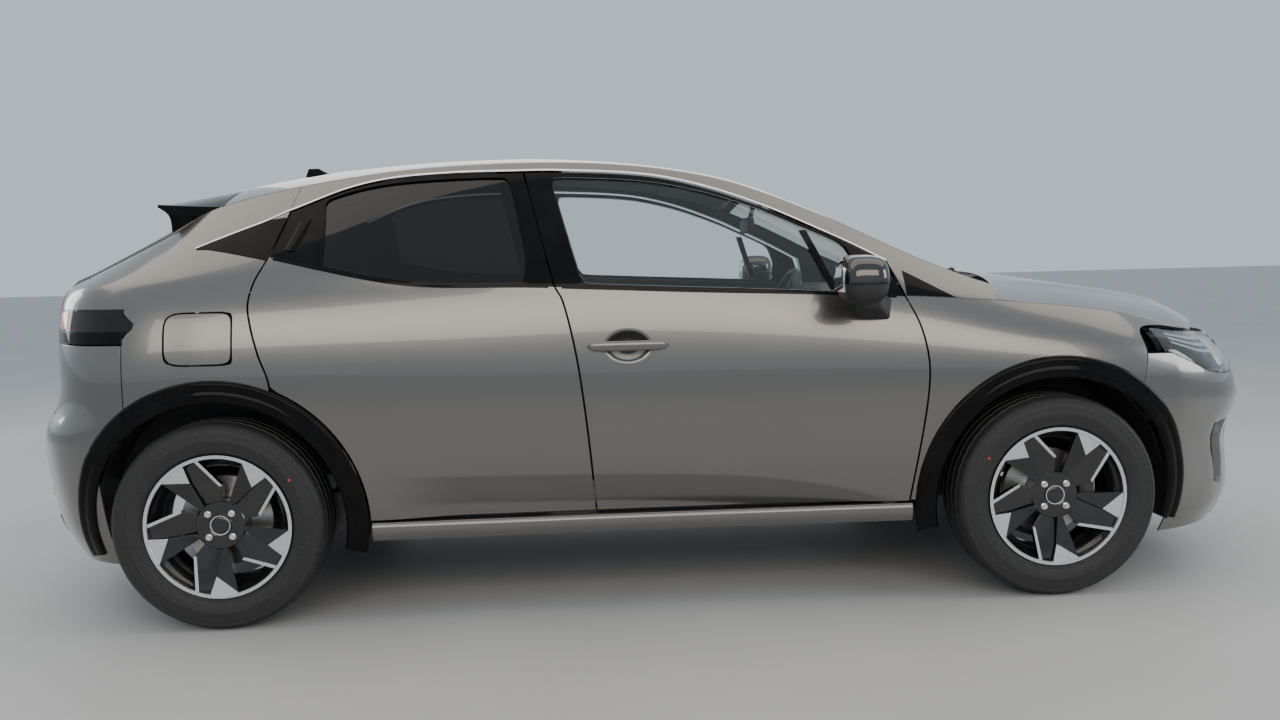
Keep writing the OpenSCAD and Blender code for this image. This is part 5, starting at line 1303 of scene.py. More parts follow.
        back = shell(steps(-37.8, 37.8, 40), unit(8), panel, depth * 1.8, start=depth * 1.4)
        add(back, "grille_back", PLASTIC, nodes=["grille"])
        us, vs = steps(-mesh_a, mesh_a, 146), unit(rows)
        add(shell(us, vs, panel, depth * 1.2, lattice, start=depth * .7), "grille_mesh", GLOSS)

    def lamp_at(self, u: float, v: float, inward: float) -> Vector:
        """Point of the headlamp: u outwards and back, v up."""
        a = mix(*self.lamp_angles, u)
        top = self.lookup(a, self.LAMP_TOP) * FORM.height - FORM.gap / 2
        z = mix(self.nose_top(a) + FORM.gap / 2, top, v)
        return FORM.nose(a, z, inward)

    def lamps(self) -> None:
        """Makes housing, light bars and clear cover of both headlamps."""
        pair(unit(30), unit(8), self.lamp_at, .0525, "headlamp_housings", GLOSS, start=.030,
             nodes=["headlamps"], sharp=50)
        pair(unit(48), unit(14), self.lamp_at, .004, "headlamp_covers", LAMP, start=.001,
             nodes=["headlamps"])

        def bars() -> Mesh:
            """Light bars of the right headlamp."""
            made = []
            for k in range(3):
                v0 = .48 + .16 * k
                made.append(shell(steps(.34, .88, 16), [v0, v0 + .07], self.lamp_at, .016, start=.006))
            return join(made)

        add(both(bars), "headlamp_bars", CHROME, bevel=.001)
        pair(steps(.04, .30, 12), steps(.14, .86, 6), self.lamp_at, .026, "headlamp_lenses", WHITE_LAMP, start=.014,
             bevel=.004)
        pair(steps(.40, .92, 16), [.10, .34], self.lamp_at, .024, "headlamp_brows", GLOSS, start=.010, bevel=.002)


@dataclass
class Tail:
    """Rear bumper, lamps, tailgate, its glass and the roof spoiler."""

    low: float = .135
    lid_low: float = .445
    lip: float = .712
    lip_v: float = .42
    lid_angle: float = 40.0
    halves: tuple[float, float] = (.70, .642)
    lid_row: float = .56
    edge_angle: float = 75.0
    lamp_end: float = 79.0

    def __post_init__(self) -> None:
        """Works out where the lid meets the roof."""
        self.top_x = FORM.station(FORM.roof_end) - FORM.gap
        self.top_half = FORM.side_half(self.top_x, FORM.rail_z(self.top_x)) - FORM.gap

    def build(self) -> None:
        """Makes the pieces of the tail."""
        self.bumper()
        self.lamps()
        self.lid()
        self.spoiler()

    def bumper_at(self, a: float, v: float, inward: float) -> Vector:
        """Point of the rear bumper by angle and share of its height."""
        h = FORM.height
        t = part(v, 0, self.lid_row)
        if v <= self.lid_row + 1e-6:
            z = mix(self.low, self.lid_low, t) * h - FORM.gap / 2 * t
        else:
            z = mix(self.lid_low * h, FORM.lamp_low * h, part(v, self.lid_row, 1)) - FORM.gap / 2
        if abs(a) > self.edge_angle:
            x = min(FORM.x_rear - FORM.arch_reach(FORM.arch_cut_r, z), FORM.station(FORM.bumper_edge) - FORM.gap / 2)
            return handed(FORM.side(x, z, inward), a)
        return FORM.tail(a, z, inward)

    def bumper(self) -> None:
        """Makes the bumper skin, its dark lower part and the reflectors."""
        half, vs = fill([0, self.lid_angle, 74.5, 76], 2), fill([0, self.lid_row, 1], .025)
        hole = lambda a, v: not (abs(a) < self.lid_angle and v > self.lid_row)
        add(shell(mirrored(half), vs, self.bumper_at, FORM.skin_t, hole), "rear_bumper_skin", PAINT,
            nodes=["rear_bumper"], bevel=.0018)
        skirt = lambda a, v, d: FORM.tail(a, mix(self.low + .004, self.low + .085, v) * FORM.height, d)
        add(shell(steps(-38, 38, 60), unit(8), skirt, .0005, start=-.004), "rear_skirt", PLASTIC, bevel=.002)
        glint = lambda a, v, d: FORM.tail(a, mix(.262, .280, v) * FORM.height, d)
        pair(steps(25, 35, 14), unit(3), glint, .0005, "rear_reflectors", RED, start=-.004, bevel=.0015)

    def lamp_at(self, a: float, v: float, inward: float) -> Vector:
        """Point of the tail lamp."""
        z = mix(FORM.lamp_low * FORM.height + .001, FORM.lamp_high * FORM.height - .001, v)
        if a > self.lamp_end:
            return FORM.side(FORM.station(FORM.lamp_tip) - FORM.gap / 2 - lamp_wedge(z), z, inward)
        return FORM.tail(a, z, inward)

    def lamps(self) -> None:
        """Makes the smoked covers, the light bars and the dark fillets."""
        angles = fill([self.lid_angle + 2, 76, 80], 1.5)
        pair(angles, steps(.36, 1, 9), self.lamp_at, .004, "tail_lamp_covers", SMOKED, start=.0005,
             nodes=["taillamps"])
        pair(angles, steps(0, .35, 6), self.lamp_at, .012, "tail_lamp_fillets", GLOSS, start=.0005,
             nodes=["taillamps"], bevel=.002)
        pair(angles, unit(6), self.lamp_at, .060, "tail_lamp_housings", GLOSS, start=.030,
             nodes=["taillamps"])
        pair(steps(self.lid_angle + 3, 55, 10), steps(.42, .94, 6), self.lamp_at, .020, "tail_lamp_red", RED,
             start=-.0008, bevel=.002)

        def bars() -> Mesh:
            """Bars in the outer part of the right tail lamp."""
            return join([shell(steps(57, 76, 14), [.44 + .16 * k, .52 + .16 * k], self.lamp_at, .022, start=.010)
                         for k in range(3)])

        add(both(bars), "tail_lamp_bars", DARK_CHROME, bevel=.001)

    def lid_at(self, w: float, v: float, inward: float) -> Vector:
        """Point of the tailgate: w across, v up and forwards."""
        if v <= self.lip_v + 1e-6:
            q = v / self.lip_v
            z = mix(self.lid_low, self.lip, q) * FORM.height
            y = -w * mix(*self.halves, q * q) * FORM.half_w
            wide = FORM.section_half(FORM.rear_corner_x, z)
            x = FORM.rear_corner_x - (FORM.rear_corner_x - FORM.tail_x(z)) * FORM.round_off(abs(y) / wide, 3)
            plate_dent = .016 * (1 - ease(abs(w), .40, .46)) * ease(q, .14, .20) * (1 - ease(q, .58, .66))
            return Vector((x + inward + (plate_dent if inward < .01 else 0), y, z))
        q = (v - self.lip_v) / (1 - self.lip_v)
        x = mix(mix(FORM.station(-.845), FORM.station(-.745), w * w), self.top_x, q)
        half = mix(self.halves[1] * FORM.half_w, self.top_half, q)
        return FORM.top(x, -w * half, inward)

    def lid(self) -> None:
        """Makes the tailgate's skin, its lining and its glass."""
        side, low, high = .88, .50, .86
        ws = fill([-1, -side, side, 1], .04)
        vs = fill([0, .40, .42, low, high, .9, .905, 1], .022)
        hole = lambda w, v: not (abs(w) < side and low < v < high)
        thin = lambda w, v: FORM.skin_t if v > .9 else FORM.lid_t
        add(shell(ws, vs, self.lid_at, thin, hole), "tailgate_skin", PAINT, "tailgate", ["tailgate"], bevel=.0018)
        pane = shell(fill([-.99, .99], .05), fill([.44, .885], .03), self.lid_at, .0062, start=-.0012)
        add(pane, "tailgate_window", TINTED, "tailgate", ["tailgate_glass"])
        ws, vs = fill([-.9, .9], .06), fill([.03, .40], .03)
        lining = shell(ws, vs, self.lid_at, FORM.lid_t + .004, start=FORM.lid_t + .0005)
        add(lining, "tailgate_lining", PLASTIC, "tailgate", bevel=.002)
        border = lambda w, v: not (abs(w) < .84 and .49 < v < .80)
        add(shell(fill([-.985, -.84, .84, .985], .05), fill([.445, .49, .80, .88], .03), self.lid_at, .0004, border,
                  start=-.0008), "tailgate_window_border", GLOSS, "tailgate")
        wipe = [self.lid_at(mix(0, .42, q), .47 + .03 * q * q, -.012) for q in unit(14)]
        add(tube(wipe, .0055), "rear_wiper", PLASTIC, "tailgate")
        grip = shell(steps(-.30, .30, 16), steps(.285, .315, 3), self.lid_at, -.001, start=-.012)
        add(grip, "tailgate_handle", GLOSS, "tailgate", bevel=.002)

    def spoiler(self) -> None:
        """Makes the gloss-black roof spoiler with its side fins and the high lamp."""
        thick = .022 * FORM.height

        def at(u: float, w: float, d: float) -> Vector:
            """Point of the spoiler: u backwards, w across; any depth is its underside."""
            x = mix(self.top_x - FORM.gap, FORM.station(-.44) + w * w * .03 * FORM.wheelbase, u)
            base = FORM.top(self.top_x - FORM.gap, -w * self.top_half).z + .0008
            z = mix(base, (.906 - .010 * w * w) * FORM.height, u * .8 + u * u * .2) + .0004
            if d > 0:
                floor = FORM.top(x, -w * self.top_half).z + FORM.gap / 2
                under = max(z - thick * (.3 + math.sin(math.pi * u ** .8) * .7), floor)
                z = min(z - .0004, under)
            return Vector((x, -w * self.top_half, z))

        add(shell(unit(24), steps(-1, 1, 48), at, 1.0), "roof_spoiler", GLOSS, "tailgate", ["spoiler"], sharp=40)

        def fin(u: float, v: float, d: float) -> Vector:
            """Point of a side fin between spoiler and glass."""
            upper = at(mix(.02, .97, u), 1, 1.0)
            back = .032 * (1 - v ** 5) * u
            foot = min(FORM.top(upper.x + back, -self.top_half).z + .002, upper.z - .001)
            return Vector((upper.x + back, upper.y + d + .006 * (1 - v), mix(foot, upper.z, v)))

        pair(unit(14), unit(8), fin, .012, "spoiler_fins", GLOSS, body="tailgate", bevel=.002)
        lamp = lambda w, v, d: at(1, w, 0) + Vector((d, 0, mix(-.020, -.008, v)))
        add(shell(steps(-.26, .26, 20), [0, .5, 1], lamp, .004, start=-.002), "high_stop_lamp", RED, "tailgate",
            bevel=.001)


@dataclass
class Mirror:
    """An outside mirror: cap, lower housing, arm and glass."""

    side: Side

    def build(self) -> None:
        """Makes the mirror's pieces inside the place of the CAD node."""
        word, body = self.side.word, f"{self.side.word}_front_door"
        x, z = FORM.station(.745), .657 * FORM.height
        y = -FORM.side_half(x, z)
        out, tall, wide = .082 * FORM.width, .098 * FORM.height, .118 * FORM.width
        mid = Vector((x, y - out / 3 - wide * .36 - tall * .2, z + tall * .47))

        def head(grow: float, low: float, high: float) -> Mesh:
            """Upper or lower part of the mirror's head, between two angles of height."""
            def at(u: float, v: float) -> Vector:
                """Point of the head, by angle round it and angle of height."""
                a, b = math.radians(u), math.radians(v)
                ca, sa = math.cos(a), math.sin(a)
                k = (abs(ca) ** 3.2 + abs(sa) ** 3.2) ** (-1 / 3.2)
                r = max(0.0, math.cos(b)) ** .55
                rear = ca * k < 0
                px = mid.x + (.80 if rear else 1.0) * ca * k * r * .078 * grow + .002
                py = mid.y + sa * k * r * (wide * .36 + tall * .20) * grow
                pz = mid.z + math.copysign(abs(math.sin(b)) ** .8, math.sin(b)) * tall * .50 * grow
                return Vector((px, py, pz + .008 * (py - mid.y) / wide))
            return cleaned(grid(steps(0, 360, 48), steps(low, high, 18), at), 60)

        turn = flip if self.side is Side.LEFT else (lambda bm: bm)
        node = f"{word}_mirror"
        add(turn(head(1.0, -4, 90)), f"{word}_mirror_cap", DARK_CHROME, body, [node], sharp=50)
        add(turn(head(.985, -90, -5)), f"{word}_mirror_housing", PLASTIC, body, [node], sharp=50)
        foot = FORM.side(x + .093, z)
        arm = bmesh.new()
        bmesh.ops.create_cube(arm, size=1.0)
        for vert in arm.verts:
            inner = vert.co.y > 0
            vert.co = Vector((x + (.093 if inner else .040) + vert.co.x * (.105 if inner else .080),
                              foot.y + .006 if inner else mid.y + .050,
                              z + (-.036 if inner else .000) + vert.co.z * (.078 if inner else .050)))
        round_edges(arm, .008)
        bmesh.ops.recalc_face_normals(arm, faces=arm.faces[:])
        add(turn(arm), f"{word}_mirror_arm", PLASTIC, body, [node])
        half_y, half_z = wide * .27, tall * .25
        glass = box((mid.x - .0612, mid.y - half_y, mid.z - half_z), (mid.x - .0545, mid.y + half_y, mid.z + half_z),
                    .001)
        add(turn(glass), f"{word}_mirror_glass", CHROME, body)


@dataclass
class Wheel:
    """A wheel with rim, five swept spokes, machined faces, bolts, cap, disc and tyre."""

    side: Side
    row: Row
    spokes: int = 5
    bolts: int = 4
    bolt_r: float = .050

    def __post_init__(self) -> None:
        """Finds the wheel's place and its turn in the photograph."""
        self.name = f"{self.side.word}_{self.row.value}"
        self.body = f"{self.name}_wheel"
        ahead = self.row is Row.FRONT
        self.phase = 62.0 if ahead else 56.0
        self.face_z = .34 * FORM.rim_w
        x = FORM.x_front if ahead else FORM.x_rear
        s = self.side.value
        turn = Matrix(((-s, 0, 0, 0), (0, 0, s, 0), (0, 1, 0, 0), (0, 0, 0, 1)))
        self.place = Matrix.Translation((x, s * FORM.track / 2, FORM.tyre_r)) @ turn

    def put(self, bm: Mesh, name: str, finish: Finish, nodes: Sequence[str] = (), **more: float) -> None:
        """Moves a mesh from the wheel's own frame, Z outwards, to its place and adds it."""
        bmesh.ops.transform(bm, matrix=self.place, verts=bm.verts[:])
        add(bm, f"{self.name}_{name}", finish, self.body, nodes, **more)

    @staticmethod
    def polar(r: float, degrees: float) -> tuple[float, float]:
        """Point of the wheel's face."""
        return r * math.cos(math.radians(degrees)), r * math.sin(math.radians(degrees))

    def build(self) -> None:
        """Makes all pieces of the wheel."""
        self.rim()
        self.face()
        self.hub()
        self.tyre()

    def rim(self) -> None:
        """Makes the turned rim, its machined ring and the brake disc."""
        rr, hw = FORM.rim_d / 2, FORM.rim_w / 2
        outer = [(.955, -1), (.995, -1), (1, -.97), (1, -.93), (.93, -.86), (.93, -.74), (.86, -.6), (.86, .56),
                 (.93, .74),
                 (.93, .86), (1, .93), (1, .97), (.995, 1), (.962, 1), (.950, .985), (.945, .93), (.90, .80),
                 (.845, .60),
                 (.82, .44), (.82, -.56), (.90, -.72), (.90, -.84)]
        self.put(turned([(r * rr, z * hw) for r, z in outer], 96), "rim", WHEEL_BLACK, [self.body], sharp=40)
        ring = [(.9965, 1.002), (.9965, 1.010), (.950, 1.010), (.942, .96), (.944, .95), (.952, .99)]
        self.put(turned([(r * rr, z * hw) for r, z in ring], 128), "rim_ring", MACHINED, sharp=50)
        t = .16 * FORM.rim_w
        z0 = self.face_z - t * 3.5
        disc = [(.02, z0), (.139, z0), (.140, z0 + .001), (.140, z0 + t - .001), (.139, z0 + t), (.090, z0 + t),
                (.086, z0 + t + .002),
                (.078, z0 + t + .004), (.074, z0 + t + .006), (.074, z0 + 2.45 * t), (.02, z0 + 2.45 * t)]
        self.put(turned(disc, 72), "brake_disc", DISC, sharp=30)

    def face(self) -> None:
        """Makes the swept spokes with their grey blades and machined wedges, and the bright machined-alloy lines that
        paint each spoke's edge highlight.
        """
        rr, z1 = FORM.rim_d / 2, self.face_z
        front = .5 * FORM.rim_w * .97
        spokes, blades, wedges, lines = [], [], [], []

        def facet(points: Sequence[tuple[float, float, float]], thick: float) -> Mesh:
            """A flat face through the points, given a thickness behind it."""
            bm = bmesh.new()
            face = bm.faces.new([bm.verts.new((*self.polar(r * rr, a), z)) for r, a, z in points])
            made = bmesh.ops.extrude_face_region(bm, geom=[face], use_keep_orig=True)["geom"]
            sunk = [g for g in made if isinstance(g, bmesh.types.BMVert)]
            bmesh.ops.translate(bm, vec=(0, 0, -thick), verts=sunk)
            bmesh.ops.triangulate(bm, faces=bm.faces[:])
            bmesh.ops.recalc_face_normals(bm, faces=bm.faces[:])
            return bm

        for k in range(self.spokes):
            a = self.phase + k * 360 / self.spokes
            deep = z1 - .004
            spokes.append(facet([(.30, a + 14, deep), (.30, a - 16, deep), (.33, a - 44, deep),
                                 (.55, a - 43.8, z1 + .004),
                                 (.955, a - 23, front - .006), (.955, a - 11, front - .012), (.71, a - 8.4, z1 + .006),
                                 (.34, a - 2, z1 - .008)], .026))
            blades.append(facet([(.31, a + 12, z1 + .002), (.34, a - 1, z1 + .002), (.70, a - 8, z1 + .014),
                                 (.955, a - 11.4, front - .003),
                                 (.955, a + 11.4, front - .003)], .024))
            wedges.append(facet([(.952, a - 11.4, front), (.952, a, front), (.952, a + 11.4, front),
                                 (.705, a - 7.8, z1 + .0175)], .004))
            # Bright lines in machined alloy along each spoke's trailing edge: a painted highlight where light catches
            # that edge.
            lines.append(facet([(.56, a - 44.6, z1 + .0072), (.545, a - 40.5, z1 + .0072),
                                (.952, a - 21.0, front - .002),
                                (.952, a - 24.0, front - .002)], .004))
        self.put(join(spokes), "spokes", WHEEL_BLACK, [self.body], bevel=.002, sharp=25)
        self.put(join(blades), "spoke_blades", WHEEL_GREY, [self.body], bevel=.0015, sharp=25)
        self.put(join(wedges), "machined_wedges", MACHINED, bevel=.0008, sharp=25)
        self.put(join(lines), "spoke_edge_highlights", MACHINED, bevel=.0006, sharp=25)

    def hub(self) -> None:
        """Makes the hub face, the bolts and the plain ringed cap."""
        z1 = self.face_z
        hub = [(.029, z1 - .028), (.0775, z1 - .028), (.0775, z1 - .006), (.072, z1), (.036, z1 + .002),
               (.029, z1 - .002)]
        self.put(turned(hub, 64), "hub", WHEEL_BLACK, [self.body], sharp=30)
        cap = [(.0001, z1 + .004), (.020, z1 + .0036), (.0245, z1 + .002), (.0285, z1 - .001), (.0285, z1 - .02),
               (.0001, z1 - .02)]
        self.put(turned(cap, 48), "hub_cap", WHEEL_BLACK, [self.body], sharp=30)
        ring = [(.0275, z1 + .0030), (.0305, z1 + .0036), (.0305, z1 + .0005), (.0275, z1 + .0005)]
        self.put(turned(ring, 64), "hub_cap_ring", CHROME, sharp=50)
        made = []
        for k in range(self.bolts):
            x, y = self.polar(self.bolt_r, 45 + 90 * k)
            head = bmesh.new()
            bmesh.ops.create_cone(head, cap_ends=True, segments=6, radius1=.0085, radius2=.0078, depth=.012)
            collar = bmesh.new()
            bmesh.ops.create_cone(collar, cap_ends=True, segments=24, radius1=.0115, radius2=.0100, depth=.005)
            for mesh, lift in ((head, .007), (collar, .001)):
                bmesh.ops.translate(mesh, vec=(x, y, z1 + lift), verts=mesh.verts[:])
                made.append(mesh)
        self.put(join(made), "wheel_bolts", CHROME, sharp=25)

    def tyre(self) -> None:
        """Makes the tyre with ribbed walls, grooves and shoulder blocks."""
        r0, r1, hw = FORM.rim_d / 2, FORM.tyre_r, FORM.tyre_w / 2
        wall = [(-.07, .72), (-.01, .75), (.02, .86), (.07, .90), (.10, .93), (.115, .925), (.25, .972), (.42, .995),
                (.45, 1.0),
                (.47, .993), (.60, .998), (.72, .985), (.80, .960), (.82, .966), (.86, .940), (.93, .86), (.975, .76)]
        tread = [(.995, .66), (.90, .62), (.90, .58), (1.0, .54), (1.0, .26), (.90, .235), (.90, .165), (1.0, .14)]
        outside = wall + tread
        inside = [(.84, .55), (.80, .74), (.6, .87), (.25, .84), (.05, .70), (-.07, .55)]
        at = lambda p, s: (r0 + p[0] * (r1 - r0), s * p[1] * hw)
        profile = ([at(p, -1) for p in outside] + [at(p, 1) for p in reversed(outside)]
                   + [at(p, 1) for p in reversed(inside)] + [at(p, -1) for p in inside])
        count = 216
        bm = turned(profile, count)
        for vert in bm.verts:
            r = math.hypot(vert.co.x, vert.co.y)
            k = round(math.degrees(math.atan2(vert.co.y, vert.co.x)) / 360 * count) % count
            wide = abs(vert.co.z) / hw
            low = (.5 < wide < .72 and k % 4 == 0) or (.1 < wide < .3 and k % 9 == 4)
            if low and r > r0 + .92 * (r1 - r0):
                factor = (r - .0022) / r
                vert.co.x, vert.co.y = vert.co.x * factor, vert.co.y * factor
        self.put(bm, "tyre_rubber", RUBBER, [f"{self.name}_tyre"], sharp=34)
        dot = bmesh.new()
        bmesh.ops.create_circle(dot, cap_ends=True, segments=20, radius=.0045)
        x, y = self.polar(r0 + .42 * (r1 - r0), 150 if self.row is Row.FRONT else 32)
        bmesh.ops.translate(dot, vec=(x, y, hw * .998), verts=dot.verts[:])
        self.put(dot, "balance_dot", RED)


@dataclass
class Cabin:
    """Seats, dashboard and steering wheel."""

    seat_y: float = .205 * FORM.width
    seat_w: float = .50

    def build(self) -> None:
        """Makes the pieces of the cabin."""
        self.seats()
        self.dashboard()
        self.steering()

    @staticmethod
    def cushion(low: Sequence[float], high: Sequence[float], lean: float, crown: float,
                pulled: float) -> Mesh:
        """Makes a crowned pad whose sides pull in between its corners.

        Args:
            low: Lowest corner before leaning.
            high: Highest corner before leaning.
            lean: Shift along X for each metre of height.
            crown: How far the middle of the wide faces swells.
            pulled: How far the edges pull in between the corners.

        Returns:
            The pad.
        """
        bm = bmesh.new()
        bmesh.ops.create_cube(bm, size=2.0)
        bmesh.ops.subdivide_edges(bm, edges=bm.edges[:], cuts=9, use_grid_fill=True)
        size = [(b - a) / 2 for a, b in zip(low, high)]
        mid = [(a + b) / 2 for a, b in zip(low, high)]
        for vert in bm.verts:
            c = [max(-1.0, min(1.0, q)) for q in vert.co]
            bulge = [1 - abs(q) ** 2 for q in c]
            out = [q * (1 - .10 * (abs(c[(i + 1) % 3]) ** 8 + abs(c[(i + 2) % 3]) ** 8)) for i, q in enumerate(c)]
            x = out[0] * (size[0] - pulled * bulge[1] * (1 - bulge[0]) * .4) + crown * c[0] * bulge[1] * bulge[2]
            y = out[1] * (size[1] - pulled * bulge[0] * (1 - bulge[1]))
            z = out[2] * (size[2] - pulled * bulge[1] * (1 - bulge[2]) * .4) + crown * c[2] * bulge[0] * bulge[1]
            channel = .006 * math.exp(-((abs(c[1]) - .52) / .06) ** 2)
            x -= math.copysign(channel, c[0]) * (abs(c[0]) > .9)
            z -= math.copysign(channel, c[2]) * (abs(c[2]) > .9)
            vert.co = Vector((mid[0] + x - lean * (z + size[2]), mid[1] + y, mid[2] + z))
        return bm

    def pad(self, bm: Mesh, name: str, finish: Finish, nodes: Sequence[str]) -> None:
        """Adds a padded piece."""
        add(bm, name, finish, nodes=nodes, levels=1)

    def seats(self) -> None:
        """Makes front and rear seats from crowned pads, with bolsters and head restraints."""
        for node, rows in (("front_seats", (Side.RIGHT, Side.LEFT)), ("rear_seat", (None,))):
            low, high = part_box(node)
            for side in rows:
                word = node if side is None else f"{side.word}_front_seat"
                y0 = high.y - self.seat_w if side is Side.LEFT else low.y
                y1 = low.y + self.seat_w if side is Side.RIGHT else high.y
                self.seat(word, node, low, high, y0, y1)

    def seat(self, word: str, node: str, low: Vector, high: Vector, y0: float, y1: float) -> None:
        """Makes one seat or bench inside its box."""
        bench = node == "rear_seat"
        base_z, top_z = low.z, high.z
        tall = top_z - base_z
        seat_h = tall * (.34 if bench else .36)
        lean = .26 if bench else .24
        foot = low.x + lean * tall * (.80 if bench else .86)
        rear, front = (foot - .02, y0 + .01, base_z + seat_h * .35), (high.x - .006, y1 - .01, base_z + seat_h)
        self.pad(self.cushion(rear, front, 0, .014, .012), f"{word}_cushion", CLOTH, [node])
        back_top = base_z + tall * (.86 if bench else .80)
        rear, front = (foot - .02, y0 + .015, base_z + seat_h * .80), (foot + .12, y1 - .015, back_top)
        self.pad(self.cushion(rear, front, lean, .014, .012), f"{word}_back", CLOTH, [node])
        rests = [(y0 + y1) / 2] if not bench else [y0 + (y1 - y0) * q for q in (.17, .5, .83)]
        for i, y in enumerate(rests):
            z0 = back_top + .012
            x = foot - .02 - lean * (z0 - base_z - seat_h * .80) + .03
            rear, front = (x, y - .125, z0), (x + .085, y + .125, min(top_z - .004, z0 + .165))
            self.pad(self.cushion(rear, front, lean, .010, .010), f"{word}_head_rest_{i}", CLOTH, [node])
        if not bench:
            for i, y in enumerate((y0 + .045, y1 - .045)):
                rear, front = (foot, y - .035, base_z + seat_h * .95), (foot + .155, y + .035, back_top - .08)
                self.pad(self.cushion(rear, front, lean, .008, .006), f"{word}_bolster_{i}", PIPING, [node])
            rear, front = (foot - .02, y0 + .03, base_z + .002), (high.x - .05, y1 - .03, base_z + seat_h * .40)
            add(box(rear, front, .02), f"{word}_base", PLASTIC, nodes=[node])

    def dashboard(self) -> None:
        """Makes the dashboard, hood, vents, screen and console."""
        half = .345 * FORM.width
        x0 = FORM.station(.795)
        shape = [(.0, .42), (.05, .38), (.09, .38), (.10, .50), (.15, .58), (.11, .655), (.03, .665), (-.02, .63),
                 (-.03, .50)]
        across, up = (Line([(i, q[k]) for i, q in enumerate(shape + shape[:1])]) for k in (0, 1))

        def skin(u: float, v: float) -> Vector:
            """Point of the dashboard: u across, v round its outline."""
            pull = 1 - .06 * abs(u) ** 6
            x = x0 + across(v) * FORM.height * pull
            return Vector((x, u * half, up(v) * FORM.height))

        bm = cleaned(grid(steps(-1, 1, 40), steps(0, len(shape), 54), skin), 80)
        add(bm, "dashboard_skin", PLASTIC, nodes=["dashboard"], sharp=50)
        face, y = x0 - .03 * FORM.height, self.seat_y

        def block(xs: Sequence[float], ys: Sequence[float], zs: Sequence[float], bevel: float) -> Mesh:
            """A rounded block between two places, its heights in shares of the car's."""
            low, high = zip(xs, ys, [z * FORM.height for z in zs])
            return box(low, high, bevel)

        add(block((face - .022, face + .05), (y - .16, y + .16), (.640, .662), .012), "instrument_hood", PLASTIC)
        add(block((face - .012, face + .012), (y - .14, y + .14), (.575, .640), .006), "instrument_screen", SCREEN)
        add(block((face - .030, face - .012), (-.14, .10), (.565, .660), .006), "centre_screen", SCREEN)
        vents = [block((face - .004, face + .02), (mid - .055, mid + .055), (.595, .622), .004)
                 for mid in (-.52, -.24, .17, .57)]
        add(join(vents), "air_vents", GLOSS)
        console = block((FORM.station(.56), FORM.station(.78)), (-.118, .118), (.262, .378), .022)
        add(console, "centre_console", PLASTIC, nodes=["dashboard"])
        lever = block((FORM.station(.665), FORM.station(.685)), (-.022, .022), (.375, .435), .012)
        add(lever, "gear_lever", GLOSS)

    def steering(self) -> None:
        """Makes the steering wheel with its pad, spokes and column."""
        r = .105 * FORM.width
        rim = bmesh.new()
        bmesh.ops.create_circle(rim, segments=16, radius=r * .09)
        bmesh.ops.rotate(rim, verts=rim.verts[:], cent=(0, 0, 0), matrix=Matrix.Rotation(math.pi / 2, 3, "X"))
        bmesh.ops.translate(rim, verts=rim.verts[:], vec=(r, 0, 0))
        bmesh.ops.spin(rim, geom=rim.verts[:] + rim.edges[:], cent=(0, 0, 0), axis=(0, 0, 1), dvec=(0, 0, 0),
                       angle=2 * math.pi,
                       steps=72, use_merge=True)
        cleaned(rim)
        pad = box((-.36 * r, -.33 * r, -.22 * r), (.36 * r, .33 * r, .05 * r), .02, 4)
        arms = []
        for a in (0, 90, 180):
            arm = box((.2 * r, -.09 * r, -.05 * r), (.96 * r, .09 * r, .03 * r), .006)
            bmesh.ops.rotate(arm, verts=arm.verts[:], cent=(0, 0, 0),
                             matrix=Matrix.Rotation(math.radians(a + 180), 3, "Z"))
            arms.append(arm)
        column = turned([(.0001, -.58 * r), (.0135, -.58 * r), (.0135, -.2 * r), (.0001, -.2 * r)], 32)
        place = (Matrix.Translation((FORM.station(.745), self.seat_y, .585 * FORM.height))
                 @ Matrix.Rotation(math.radians(-90 + 24), 4, "Y"))
        for bm, name, finish in ((rim, "steering_rim", PLASTIC), (join([pad] + arms), "steering_pad", PLASTIC),
                                 (column, "steering_column", STEEL)):
            bmesh.ops.transform(bm, matrix=place, verts=bm.verts[:])
            add(bm, name, finish, "steering_wheel", ["steering_wheel"], sharp=40)


class Underside:
    """CAD nodes that stay as they are and only get a finish."""

    finishes: dict[str, Finish] = {
        "floor_pan": PRIMER, "hinges": STEEL, "engine_block": CAST, "fuel_tank": PLASTIC, "exhaust": STEEL,
        "front_subframe": CAST, "rear_axle": CAST, "filler_bowl": PLASTIC, "right_knuckle": CAST, "left_knuckle": CAST}
    liner_reach: float = .397
    liner_t: float = .004
    liner_in: float = .40
    liner_z: tuple[float, float] = (.215, .52)

    def build(self) -> None:
        """Dresses the nodes that show."""
        for name, finish in self.finishes.items():
            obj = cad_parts[name]
            obj.data.materials.clear()
            obj.data.materials.append(finish.material())
        self.liners()

    def liners(self) -> None:
        """Adds the upright dark walls before and behind each wheel."""
        reach = {(FORM.x_front, 1): .775, (FORM.x_front, -1): .79, (FORM.x_rear, 1): .79, (FORM.x_rear, -1): .70}

        def walls() -> Mesh:
            """Liner walls of the right side."""
            made = []
            for (axle, way), outer in reach.items():
                x = axle + way * self.liner_reach
                low, high = (x - self.liner_t, -outer, self.liner_z[0]), (x + self.liner_t, -self.liner_in,
                                                                          self.liner_z[1])
                made.append(box(low, high, .002))
            return join(made)

        add(both(walls), "wheel_liners", PLASTIC)


